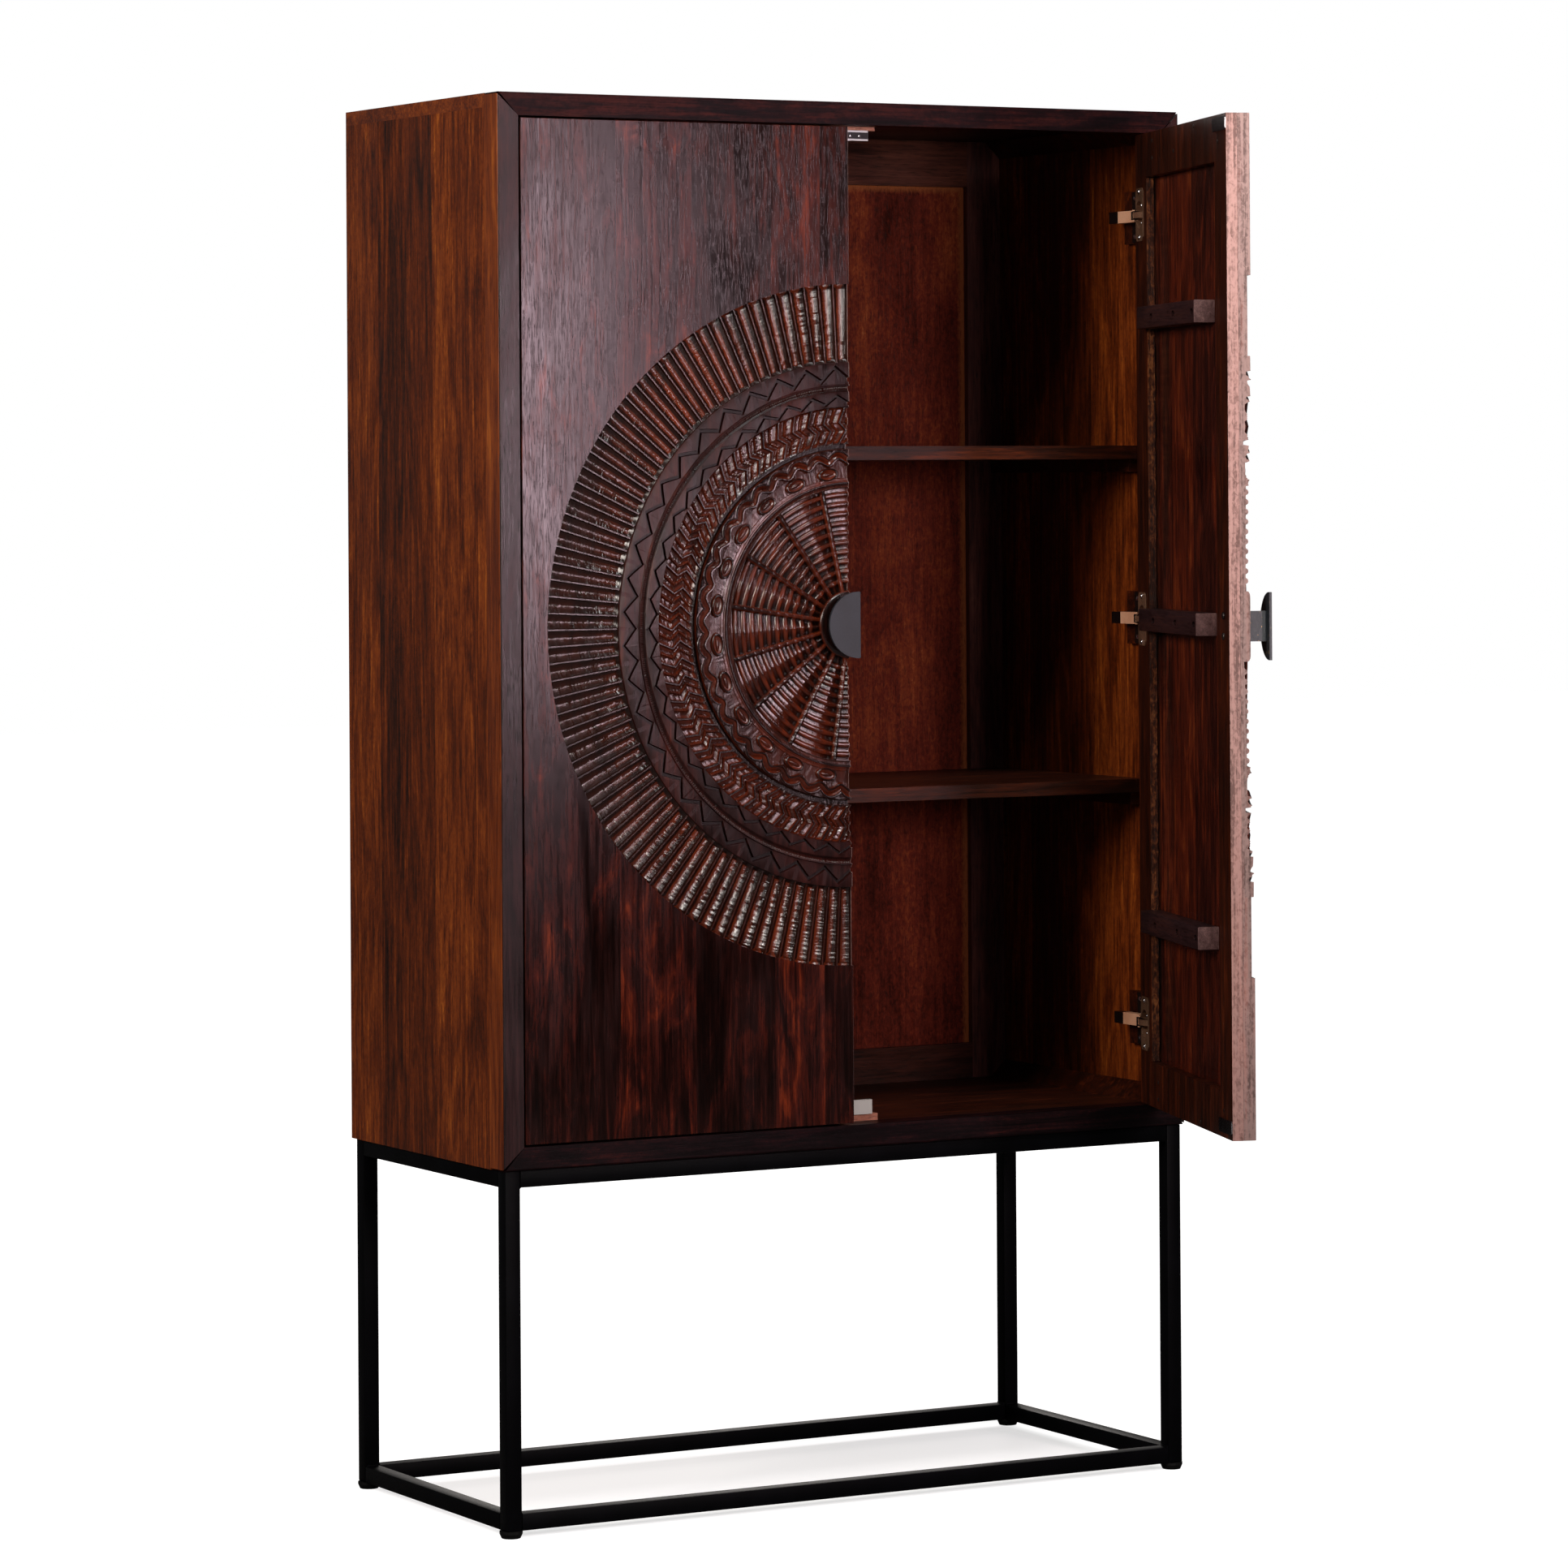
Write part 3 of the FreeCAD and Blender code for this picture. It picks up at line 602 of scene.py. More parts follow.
    def outer_stains(self, tree: Tree, place: tuple, tone: Socket, looks: dict) -> list[tuple]:
        """Finds where another stain lies on the wood.

        Args:
            tree: The node tree.
            place: The three coordinates of the point.
            tone: How light the wood is there.
            looks: The noises by name.

        Returns:
            Pairs of share and colour, to be laid on in this order.
        """
        x, y, z = place
        stains = []
        if self.flank:
            lifted = put(tree, "Math.ADD", tone, 0.12)
            outside = put(tree, "Math.GREATER_THAN", put(tree, "Math.ABSOLUTE", x), self.flank_x * MM)
            stains.append((outside, put(tree, "ValToRGB", lifted, stops=self.flank)))
        if self.worn_frame:
            half, top, worn = self.worn_frame
            side = put(tree, "Math.SUBTRACT", put(tree, "Math.ABSOLUTE", x), half * MM)
            over = put(tree, "Math.SUBTRACT", z, top * MM)
            rim = put(tree, "Math.MAXIMUM", side, over)
            ragged = put(tree, "Math.MULTIPLY_ADD", looks["speckle"], 9 * MM, rim)
            stains.append((put(tree, "MapRange", ragged, -1 * MM, 5.5 * MM, 0.0, 0.85), worn))
        for value, limit, tones in ((y, self.inside_y, self.inside), (x, self.end_x, self.end_grain)):
            if tones:
                beyond = put(tree, "Math.GREATER_THAN", value, limit * MM)
                stains.append((beyond, put(tree, "ValToRGB", tone, stops=tones)))
        return stains

    def cut_wood_and_painted_shade(self, tree: Tree, place: tuple, looks: dict) -> list[tuple]:
        """Finds the warm wood that the cutter laid bare, and the painted shade: black by depth in the cuts,
        and towards the hinge side.

        Args:
            tree: The node tree.
            place: The three coordinates of the point.
            looks: The noises by name.

        Returns:
            Pairs of share and colour, to be laid on in this order.
        """
        if not self.groove:
            return []
        x, depth, _ = place
        deep = put(tree, "MapRange", depth, 3.6 * MM, 5.8 * MM, 0.0, 0.9)
        patch = put(tree, "MapRange", looks["flame"], 0.35, 0.6, 0.25, 1.0)
        warm = put(tree, "Math.MULTIPLY", deep, patch)
        # Painted shade: black is painted in by depth, darkest in the deep cuts
        level = put(tree, "MapRange", depth, 0.0, self.deepest * MM, 0.0, 1.0)
        black = put(tree, "ValToRGB", level, stops=[(mm / self.deepest, share) for mm, share in self.painted_depth_shade])
        # Painted shade: the black also grows towards the hinge side, fullest at the first place
        if self.painted_side_shade:
            far, near, share = self.painted_side_shade
            side_shade_share = put(tree, "MapRange", x, far * MM, near * MM, share, 0.0)
            black = put(tree, "Math.MAXIMUM", black, side_shade_share)
        return [(warm, self.groove), (black, "#0a0302")]

    def free_edge(self, tree: Tree, place: tuple, looks: dict) -> tuple[Socket, Socket]:
        """Marks the door's sawn free edge, where dark fibres still hold stain, and paints its bare wood paler
        towards the top as a painted sheen.

        Args:
            tree: The node tree.
            place: The three coordinates of the point.
            looks: The noises by name.

        Returns:
            Whether the point is on the edge, and how pale it is painted, bare wood and painted sheen together.
        """
        x, _, z = place
        ragged = put(tree, "Math.MULTIPLY_ADD", looks["fibre"], -0.8 * MM, x)
        near = put(tree, "Math.GREATER_THAN", ragged, self.edge_x * MM)
        fibres = put(tree, "Math.MULTIPLY_ADD", looks["fibre"], 1.2, looks["speckle"])
        bare = put(tree, "MapRange", fibres, 0.9, 1.2, 0.38, 1.0)
        # Painted sheen: the bare wood fades towards the bottom, lightest near the top
        thin = put(tree, "MapRange", z, 0.45, 1.6, 0.42, 1.0)
        return near, put(tree, "Math.MULTIPLY", put(tree, "Math.MULTIPLY", near, bare), thin)


@dataclass(frozen=True)
class Sprayed:
    """Powder coat, plating, pressed metal or moulded plastic.

    To the eye it has two close tones in clouds, and a grit that breaks up its highlights.
    """

    title: str
    colour: str
    second: str
    roughness: float
    metallic: float = 0.0
    grit: float = 1.2
    relief: float = 0.12
    shine: float = 0.5
    chips: str = ""
    # Painted shade and reflection: a dark colour for what lies behind this place, inside the cabinet
    painted_rear: str = ""
    rear_y: float = 66.0

    def material(self) -> bpy.types.Material:
        """Builds the finish.

        Returns:
            The material.
        """
        material, tree = fresh_material(self.title)
        here = put(tree, "TexCoord").node.outputs["Object"]
        fine = put(tree, "TexNoise", here, Scale=1 / (self.grit * MM), Detail=3.0)
        cloud = put(tree, "TexNoise", here, Scale=22.0, Detail=4.0)
        share = put(tree, "MapRange", cloud, 0.42, 0.72, 0.0, 1.0)
        paint = put(tree, "Mix.RGBA", share, self.colour, self.second)
        if self.chips:
            spots = put(tree, "TexNoise", here, Scale=210.0, Detail=3.0, Roughness=0.7)
            bare = put(tree, "MapRange", spots, 0.665, 0.68, 0.0, 1.0)
            paint = put(tree, "Mix.RGBA", bare, paint, self.chips)
        # Painted shade and reflection: the part behind this place is painted dark
        if self.painted_rear:
            depth = put(tree, "SeparateXYZ", here).node.outputs["Y"]
            behind = put(tree, "Math.GREATER_THAN", depth, self.rear_y * MM)
            paint = put(tree, "Mix.RGBA", behind, paint, self.painted_rear)
        rough = put(tree, "MapRange", fine, 0.3, 0.7, self.roughness - 0.06, self.roughness + 0.08)
        bump = put(tree, "Bump", Strength=self.relief, Distance=0.2 * MM, Height=fine)
        looks = {"Base_Color": paint, "Roughness": rough, "Normal": bump}
        even = {"Metallic": self.metallic, "Specular_IOR_Level": self.shine}
        put(tree, "OutputMaterial", put(tree, "BsdfPrincipled", **looks, **even))
        return material


# ---- Carving


@dataclass(frozen=True)
class CarvedRings:
    """The half-round carving on the left door, ring by ring from the rim inwards.

    Each ring is a table of lines, as pairs of radius and depth below the board's face.
    """

    rim: float = 391.0
    flute_end: float = 301.0
    cove_outer: float = 275.0
    cove_inner: float = 267.5
    chevron_start: float = 251.5
    chevron_end: float = 207.5
    groove_end: float = 201.0
    wave_end: float = 184.0
    bead_start: float = 163.5
    fan_start: float = 156.0
    hub: float = 39.0
    bed: float = 11.5
    flutes: int = 64
    teeth: int = 24
    small_teeth: int = 25
    chevrons: int = 35
    waves: float = 21.5
    ovals: int = 12
    oval_ground: float = 7.7
    first_oval: float = 9.2
    oval_step: float = 14.56
    spoke_degrees: tuple[float, ...] = (-9.6, 13.0, 36.0, 59.0, 81.5, 104.0, 126.5, 149.5, 172.0, 194.6)

    def ring(self, name: str, radius: np.ndarray, turn: np.ndarray, depth: np.ndarray) -> Piece:
        """A closed ring whose front is the carved surface.

        Args:
            name: The ring's name.
            radius: Radii of the surface, a row for each line round the ring.
            turn: Angles from the top, in radians, a column for each line across the ring.
            depth: Depths below the face of the board.

        Returns:
            The ring, cut off at the door's free edge.
        """
        radius, turn, depth = np.broadcast_arrays(radius, turn, depth)
        radius = np.vstack([radius[:1], radius, radius[-1:], radius[:1]])
        turn = np.vstack([turn[:1], turn, turn[-1:], turn[:1]])
        bed = np.full_like(depth[:1], self.bed)
        depth = np.vstack([bed, depth, bed, bed])
        rows, columns = radius.shape
        points = np.stack(
            [-radius * np.sin(turn), depth, DOOR.centre_z + radius * np.cos(turn)], axis=-1
        ) * MM
        deselect()
        bpy.ops.mesh.primitive_grid_add(x_subdivisions=columns - 1, y_subdivisions=rows - 1, size=1)
        piece = bpy.context.active_object
        piece.data.vertices.foreach_set("co", points.reshape(-1).astype(np.float32))
        piece.data.update()
        bpy.ops.object.mode_set(mode="EDIT")
        bpy.ops.mesh.select_all(action="SELECT")
        bpy.ops.mesh.remove_doubles(threshold=1e-6)
        bpy.ops.mesh.select_all(action="SELECT")
        edge = Vector((-DOOR.inner_x, 0, 0)) * MM
        bpy.ops.mesh.bisect(plane_co=edge, plane_no=(1, 0, 0), use_fill=True, clear_outer=True, threshold=1e-7)
        bpy.ops.mesh.select_all(action="SELECT")
        bpy.ops.mesh.normals_make_consistent(inside=False)
        bpy.ops.object.mode_set(mode="OBJECT")
        return smooth(named(name), 0.45)

    def round_lines(self, name: str, turn: np.ndarray, lines: list[tuple]) -> Piece:
        """A closed ring from lines that run all round it.

        Args:
            name: The ring's name.
            turn: Angles from the top, in radians.
            lines: Pairs of radius and depth from the rim inwards, each the same all round or one per angle.

        Returns:
            The ring.
        """
        radius, depth = (np.vstack([np.broadcast_to(v, turn.shape) for v in values]) for values in zip(*lines))
        return self.ring(name, radius, turn, depth)

    def flute_ring(self) -> Piece:
        """Gouged flutes between thin crests, their floors left corrugated by the cutter.

        Returns:
            The ring.
        """
        draw = np.random.default_rng(11)
        first = 2 * DOOR.inner_x / (self.rim + self.flute_end)
        step = (math.pi - 2 * first) / self.flutes
        units = np.arange(-1, self.flutes + 1)
        ladder = np.arange(self.flute_end + 4.0, self.rim - 5.0, 1.0)
        outermost = [self.rim + 0.2, self.rim - 2.0, self.rim - 4.0]
        radii = np.concatenate([outermost, ladder[::-1], [302.6, self.flute_end]])
        rows = radii[:, None, None]
        # Half widths of a crest and of a floor, and the way over which a flute runs out at its inner end
        crest, gouge, run_out = 0.8, 1.9, 3.6
        half = step / 2
        middle = (first + units * step)[None, :, None]
        rough = draw.uniform(-0.5, 0.5, (len(radii), len(units), 7))
        lively = np.clip(draw.normal(0.5, 0.3, (1, len(units), 1)), 0.15, 1.1)
        ramp = np.clip((rows - self.flute_end) / run_out, 0, 1)
        floor = gouge + (1 - ramp) * 3.2
        wall = crest + ramp
        # Angle from the crest's middle, and share of the full depth
        lines = [
            (-crest / rows, 0.0),
            (crest / rows, 0.0),
            (wall / rows, 0.5),
            (half - floor / rows, 0.96),
            (half + 0 * rows, 1.0),
            (half + floor / rows, 0.96),
            (step - wall / rows, 0.5),
        ]
        turn = np.concatenate([middle + line for line, _ in lines], axis=2)
        share = np.array([value for _, value in lines])[None, None, :]
        turn = turn + rough * 0.8 / rows * (share > 0.9) * ramp
        marks = (np.arange(len(radii)) % 2 - 0.5)[:, None, None]
        # Depth of the crests, of a floor where it runs out, and how much deeper it is from there on
        top, shallow, drop = 4.0, 4.3, 4.6
        floor_depth = shallow + drop * ramp + lively * marks * 0.3 * ramp + rough * 0.4 * ramp
        floor_depth = floor_depth + np.clip((rows - self.rim + 4.5) / 2.5, 0, 1) * 1.6
        depth = top + (floor_depth - top) * share
        shape = (len(radii), -1)
        turn, rows = np.broadcast_to(turn, depth.shape), np.broadcast_to(rows, depth.shape)
        return self.ring("carved_flutes", rows.reshape(shape), turn.reshape(shape), depth.reshape(shape))

    @staticmethod
    def zigzag(turn: np.ndarray, count: int, tip: float, valley: float) -> np.ndarray:
        """The radius of a zigzag line at each angle."""
        phase = (turn / math.pi * count) % 1.0
        return valley + (tip - valley) * (1 - np.abs(2 * phase - 1))

    def band_ring(self) -> Piece:
        """Two flat bands with stepped zigzag lines, either side of a finely hatched cove.

        Returns:
            The ring.
        """
        draw = np.random.default_rng(3)
        corners = [np.arange(-4, 2 * n + 5) / (2 * n) * math.pi for n in (self.teeth, self.small_teeth)]
        even = np.linspace(-0.05, math.pi + 0.05, 760)
        turn = np.unique(np.round(np.concatenate([*corners, even]), 5))[None, :]
        large = self.zigzag(turn, self.teeth, tip=295.0, valley=279.8)
        small = self.zigzag(turn, self.small_teeth, tip=262.2, valley=252.7)
        hatch = (np.arange(turn.size) % 2 - 0.5)[None, :]
        grain = draw.uniform(-1, 1, (3, turn.size))
        rows = [
            (self.flute_end, 1.5), (self.flute_end - 0.8, 1.1), (large + 3.3, 0.9), (large + 2.4, 6.0),
            (large - 1.8, 6.0), (large - 2.8, 2.8),
            ((large + self.cove_outer) / 2 - 1.4, 2.7 + grain[0] * 0.05),
            (self.cove_outer + 1.0, 2.3 + grain[1] * 0.05), (self.cove_outer, 0.5), (274.2, 0.6),
            (273.6, 4.6 + hatch * 0.3), (272.0, 4.9 + hatch * 0.4), (270.0, 4.4 + hatch * 0.4),
            (268.4, 3.4 + hatch * 0.25), (self.cove_inner - 0.6, 2.0), (265.6, 1.7), (small + 2.6, 1.2),
            (small + 1.9, 5.8), (small - 1.0, 5.8), (small - 1.8, 2.5),
            (self.chevron_start - 1.4, 2.0 + grain[2] * 0.05), (self.chevron_start - 2.0, 3.0),
        ]
        return self.round_lines("carved_bands", turn, rows)

    def chevron_ring(self) -> Piece:
        """Sharp crests bent twice, with a low knurled rib in each trough.

        Returns:
            The ring.
        """
        draw = np.random.default_rng(5)
        step = math.pi / self.chevrons
        units = np.arange(-2, self.chevrons + 2)
        start, end = self.chevron_start - 2.0, self.chevron_end
        # Share of the way inwards and, in steps, how far a crest has bent by there
        bends = ((0.0, 0.41, 0.64, 1.0), (0.0, 0.38, -0.04, 0.52))
        crest, drop = 2.9, 4.9
        shares = np.unique(np.concatenate([np.linspace(0, 1, 33), bends[0], [0.4, 0.42, 0.63, 0.65]]))
        radii = start - shares * (start - end)
        rows = radii[:, None, None]
        bend = np.interp(shares, *bends)[:, None, None] * step
        middle = ((units + 0.25) * step)[None, :, None]
        # Shift along the ring, share of the way to the next crest, and share of the full depth
        lines = [
            (-0.8, 0.0, 0.0), (0.8, 0.0, 0.0), (1.5, 0.03, 0.8), (0.0, 0.3, 1.0), (-0.9, 0.42, 0.95),
            (-0.5, 0.46, 0.42), (0.5, 0.5, 0.4), (0.9, 0.56, 0.95), (0.0, 0.7, 1.0), (-1.5, 0.97, 0.8),
        ]
        turn = np.concatenate([middle + bend + mm / rows + share * step for mm, share, _ in lines], axis=2)
        low = np.array([value for _, _, value in lines])[None, None, :]
        rough = draw.uniform(-0.4, 0.4, turn.shape)
        marks = (np.arange(len(radii)) % 2 - 0.5)[:, None, None]
        ramp = np.clip(np.minimum(shares / 0.05, (1.0 - shares) / 0.1), 0.2, 1)[:, None, None]
        depth = crest + low * drop * ramp + rough * (low > 0.9) + marks * 0.7 * ((low > 0.35) & (low < 0.5))
        turn = turn + rough * 0.8 / rows * (low > 0.9)
        shape = (len(radii), -1)
        rows = np.broadcast_to(rows, depth.shape)
        return self.ring("carved_chevrons", rows.reshape(shape), turn.reshape(shape), depth.reshape(shape))

    def wave_ring(self) -> Piece:
        """A deep dark groove, a scalloped ridge and a smooth waving ridge inside it.

        Returns:
            The ring.
        """
        draw = np.random.default_rng(7)
        per_wave, spare = 24, 16
        columns = np.arange(-spare, int(self.waves * per_wave) + spare)
        turn = (columns / per_wave / self.waves * math.pi)[None, :]
        phase = turn / math.pi * self.waves
        scallop = 191.6 + 7.4 * np.abs(np.sin(math.pi * phase)) ** 0.8
        wave = 187.4 - 3.4 * np.cos(2 * math.pi * phase)
        between = (scallop + wave) / 2
        beads = (np.arange(turn.size) % 2 - 0.5)[None, :]
        grain = draw.uniform(-1, 1, (2, turn.size))
        rows = [
            (self.chevron_end, 3.2), (206.8, 9.6), (202.2, 9.8), (self.groove_end, 3.2),
            (scallop + 2.4, 3.9 + grain[0] * 0.15), (scallop + 1.3, 3.7), (scallop + 0.7, 2.3),
            (scallop - 0.4, 2.4), (scallop - 1.2, 5.4), (between, 7.2 + grain[1] * 0.3), (wave + 1.5, 5.6),
            (wave + 0.8, 2.8), (wave - 0.5, 2.7), (wave - 1.3, 4.4 + beads * 0.5), (wave - 2.2, 7.4),
            (181.6, self.oval_ground),
        ]
        return self.round_lines("carved_waves", turn, rows)

    def bead_ring(self) -> Piece:
        """The ground of the ovals, stepped towards the fan, and the rim of the fan.

        Returns:
            The ring.
        """
        draw = np.random.default_rng(9)
        turn = np.linspace(-0.05, math.pi + 0.05, 420)[None, :]
        grain = draw.uniform(-0.22, 0.22, (4, turn.size))
        rows = [
            (self.wave_end - 2.4, self.oval_ground), (178.0, self.oval_ground + grain[0]),
            (173.0, 7.6 + grain[1]), (168.6, 7.4 + grain[2]), (168.0, 6.5 + grain[3]), (165.4, 6.3),
            (165.0, 5.2),
            (self.bead_start + 0.3, 5.0), (self.bead_start - 0.3, 2.8), (162.2, 2.8), (161.4, 3.8),
            (158.4, 4.4 + grain[2] * 0.4), (157.2, 3.8), (156.4, 4.0), (self.fan_start, 9.0),
        ]
        return self.round_lines("carved_bead", turn, rows)

    def fan_ring(self) -> Piece:
        """Eight thin knurled spokes with folded, ridged fields between them.

        Returns:
            The ring.
        """
        pitch, count = 11.0, 10
        rise, tilt = 3.0, 3.0
        outer = self.fan_start - 1.2
        # Place in the pitch and share of the full rise of one ridge
        profile = (
            (0.0, 0.0), (0.16, 0.03), (0.25, 0.62), (0.35, 0.9), (0.48, 1.0), (0.6, 0.94), (0.7, 0.66),
            (0.8, 0.04), (0.9, 0.0),
        )
        rows = [(outer - (index + share) * pitch, lift) for index in range(count) for share, lift in profile]
        rows.insert(0, (self.fan_start + 0.3, 0.0))
        rows += [(outer - count * pitch, 0.0), (42.0, 0.0), (self.hub, 0.0)]
        radii = np.array([radius for radius, _ in rows])[:, None]
        lift = np.array([value for _, value in rows])[:, None]
        inward = (self.fan_start - radii) / (self.fan_start - self.hub)
        ground = 9.6 + 1.3 * inward
        crest = 3.5 + 2.2 * inward
        turns, depths = [], []
        spokes = np.radians(self.spoke_degrees)
        rope = (np.arange(len(rows)) % 3 == 0)[:, None] * 1.0
        for here, beyond in zip(spokes, spokes[1:]):
            wide = beyond - here
            # Shift from a spoke's middle, share of the way to the next one, and share of the spoke's height
            for mm, share, high in (
                (-1.5, 0.0, 1.0), (0.0, 0.0, 1.1), (1.5, 0.0, 1.0), (3.2, 0.0, 0.3), (3.6, 0.0, 0.0),
                (3.0, 0.1, 0.0), (2.0, 0.27, 0.0), (0.5, 0.47, 0.0), (-0.5, 0.53, 0.0), (-2.0, 0.73, 0.0),
                (-3.0, 0.9, 0.0), (-3.6, 1.0, 0.0), (-3.0, 1.0, 0.35),
            ):
                near = np.minimum(1.0, 60.0 / radii) if high else 1.0
                turn = here + share * wide + mm / radii * (1.0 if not high else 1.25 - 0.25 * near)
                fold = 1 - abs(2 * share - 1)
                low = ground - rise * lift - tilt * fold * (high == 0)
                depth = low + (crest - low) * high
                if mm == -1.5:
                    turn = turn - rope * 1.1 / radii
                    depth = depth + rope * 0.9
                turns.append(turn)
                depths.append(depth)
        turn, depth = np.hstack(turns), np.hstack(depths)
        return self.ring("carved_fan", np.broadcast_to(radii, turn.shape), turn, depth)

    def hub_disc(self) -> Piece:
        """The raised middle that carries the handle, rounded at its rim.

        Returns:
            The disc.
        """
        turn = np.linspace(-0.1, math.pi + 0.1, 60)[None, :]
        rows = [
            (self.hub + 0.4, 9.5), (self.hub, 5.4), (38.0, 4.2), (36.4, 3.4), (34.0, 2.9), (31.0, 2.8),
            (1.0, 2.8),
        ]
        return self.round_lines("carved_hub", turn, rows)

    def oval_bosses(self) -> Piece:
        """Raised ovals, each hollowed round a slim lens.

        Returns:
            The ovals, as one piece.
        """
        # Radius and height, before each form is drawn out to an oval
        rim = [(7.7, 0.0), (7.5, 2.2), (7.0, 4.0), (6.5, 4.4), (6.0, 4.2), (5.4, 2.2), (4.0, 1.5), (1.0, 1.4)]
        lens = [(1.0, 0.0), (0.95, 1.2), (0.7, 2.2), (0.3, 2.6)]
        ring = turned_form("oval", 36, rim, Matrix.Identity(4))
        ring.data.transform(Matrix.Diagonal((1.8, 1.0, 1.0, 1.0)))
        slit = turned_form("lens", 20, lens, at(0, 0, 0.8))
        slit.data.transform(Matrix.Diagonal((8.4, 2.6, 1.0, 1.0)))
        oval = smooth(joined("oval", [ring, slit]), 0.7)
        middle = (self.wave_end + self.bead_start) / 2 + 0.4
        pieces = []
        for index in range(self.ovals):
            turn = Matrix.Rotation(-math.radians(self.first_oval + index * self.oval_step), 4, "Y")
            place = at(0, self.oval_ground, DOOR.centre_z) @ turn @ at(0, 0, middle) @ facing((0, -1, 0))
            pieces.append(copy_to(oval, f"oval_{index}", place))
        bpy.data.objects.remove(oval)
        return joined("carved_ovals", pieces)

    def build(self) -> list[Piece]:
        """All the rings, on the shut left door.

        Returns:
            The rings, from the rim inwards.
        """
        return [
            self.flute_ring(), self.band_ring(), self.chevron_ring(), self.wave_ring(), self.bead_ring(),
            self.oval_bosses(), self.fan_ring(), self.hub_disc(),
        ]


@dataclass
class Doors:
    """Both doors: carved board, battens, raw seam, and the finishes of frame, handle, cups and plates."""

    carving: CarvedRings = CarvedRings()
    batten_x: Span = (-369.7, -101.4)
    batten_y: Span = (DOOR.board, 39.5)
    batten_width: float = 26.0
    batten_heights: Place = (654.0, 1008.0, 1362.0)
    slot_x: Place = (-300.7, -197.5, -112.5)
    slot_radius: float = 3.6
    slot_stretch: float = 1.85
    slot_y: float = 38.0
    slot_depth: float = 24.0
    seam_y: Span = (18.5, 26.6)
    seam_inset: float = 53.2

    def board(self) -> Piece:
        """The glued board of the left door, with the half-round bed of the carving sunk in it.

        Returns:
            The board.
        """
        board = block("board", (-DOOR.outer_x, -DOOR.inner_x), (0, DOOR.board), (DOOR.bottom, DOOR.top), 0.7)
        before = 4.0
        length = self.carving.bed - 0.2 + before
        middle = (0, (length - 2 * before) / 2, DOOR.centre_z)
        bed = rod("bed", self.carving.rim, length, middle, Axis.Y, 384)
        return smooth(cut(board, bed), 0.15)

    def batten(self, height: float) -> Piece:
        """A batten with three long holes for its sunk screws.

        Args:
            height: The height of its middle.

        Returns:
            The batten.
        """
        half = self.batten_width / 2
        batten = block("batten", self.batten_x, self.batten_y, (height - half, height + half), 1.2)
        for x in self.slot_x:
            hole = rod("hole", self.slot_radius, self.slot_depth, (x, self.slot_y, height), Axis.Y, 28)
            wide = Matrix.Diagonal((self.slot_stretch, 1.0, 1.0, 1.0))
            hole.data.transform(at(x, 0, 0) @ wide @ at(-x, 0, 0))
            batten = cut(batten, hole)
        return smooth(batten, 0.5)

    def raw_seam(self) -> Piece:
        """The torn edge that the saw has left along the hinge stile.

        Returns:
            The seam.
        """
        draw = np.random.default_rng(21)
        x = -DOOR.outer_x + DOOR.stile
        upright = (DOOR.bottom + self.seam_inset, DOOR.top - self.seam_inset)
        seam = only(block("seam", (x - 0.4, x + 1.4), self.seam_y, upright, 0))
        bpy.ops.object.mode_set(mode="EDIT")
        mesh = bmesh.from_edit_mesh(seam.data)
        long = [edge for edge in mesh.edges if abs(edge.verts[0].co.z - edge.verts[1].co.z) > 0.1]
        bmesh.ops.subdivide_edges(mesh, edges=long, cuts=150, use_grid_fill=True)
        for vertex in mesh.verts:
            if vertex.co.x > (x + 1) * MM:
                vertex.co.x += draw.uniform(-0.9, 0.7) * MM
                vertex.co.y -= draw.uniform(0.0, 0.8) * MM
        bmesh.update_edit_mesh(seam.data)
        bpy.ops.object.mode_set(mode="OBJECT")
        return seam

    def build(self, finishes: Finishes) -> None:
        """Models the left door once and makes both doors of it.

        Args:
            finishes: Materials by name.
        """
        board = self.board()
        rings = self.carving.build()
        battens = [self.batten(height) for height in self.batten_heights]
        seam = self.raw_seam()
        for side in Side:
            key, place = side.value, DOOR.placing(side)
            body = f"{key}_door"
            twin = copy_to(board, f"{body}_carved_board", place)
            finish_piece(twin, body, "carved_wood", finishes[f"board_{key}"], f"{body}_board")
            for ring in rings:
                twin = copy_to(ring, f"{body}_{ring.name}", place)
                kind = {"carved_flutes": "flutes", "carved_bands": "bands"}.get(ring.name, "carving")
                finish_piece(twin, body, "carved_wood", finishes[f"{kind}_{key}"])
            for index, batten in enumerate(battens):
                twin = copy_to(batten, f"{body}_batten_{index}", place)
                nodes = (f"{body}_battens",) if index == 0 else ()
                finish_piece(twin, body, "door_frame_wood", finishes[f"batten_{key}"], *nodes)
            twin = copy_to(seam, f"{body}_raw_seam", place)
            finish_piece(twin, body, "door_frame_wood", finishes[f"raw_{key}"])
            for node, finish in (
                ("door_hinge_stile", f"door_frame_{key}"), ("door_free_stile", f"door_frame_{key}"),
                ("door_rails", f"door_frame_{key}"), ("door_handle", f"handle_{key}"),
                ("door_hinge_cups", "copper"), ("door_strike_plates", "strike"), ("hinge_links", "hinge"),
            ):
                dress(f"{key}_{node}", finishes[finish])
        for piece in [board, *rings, *battens, seam]:
            bpy.data.objects.remove(piece)


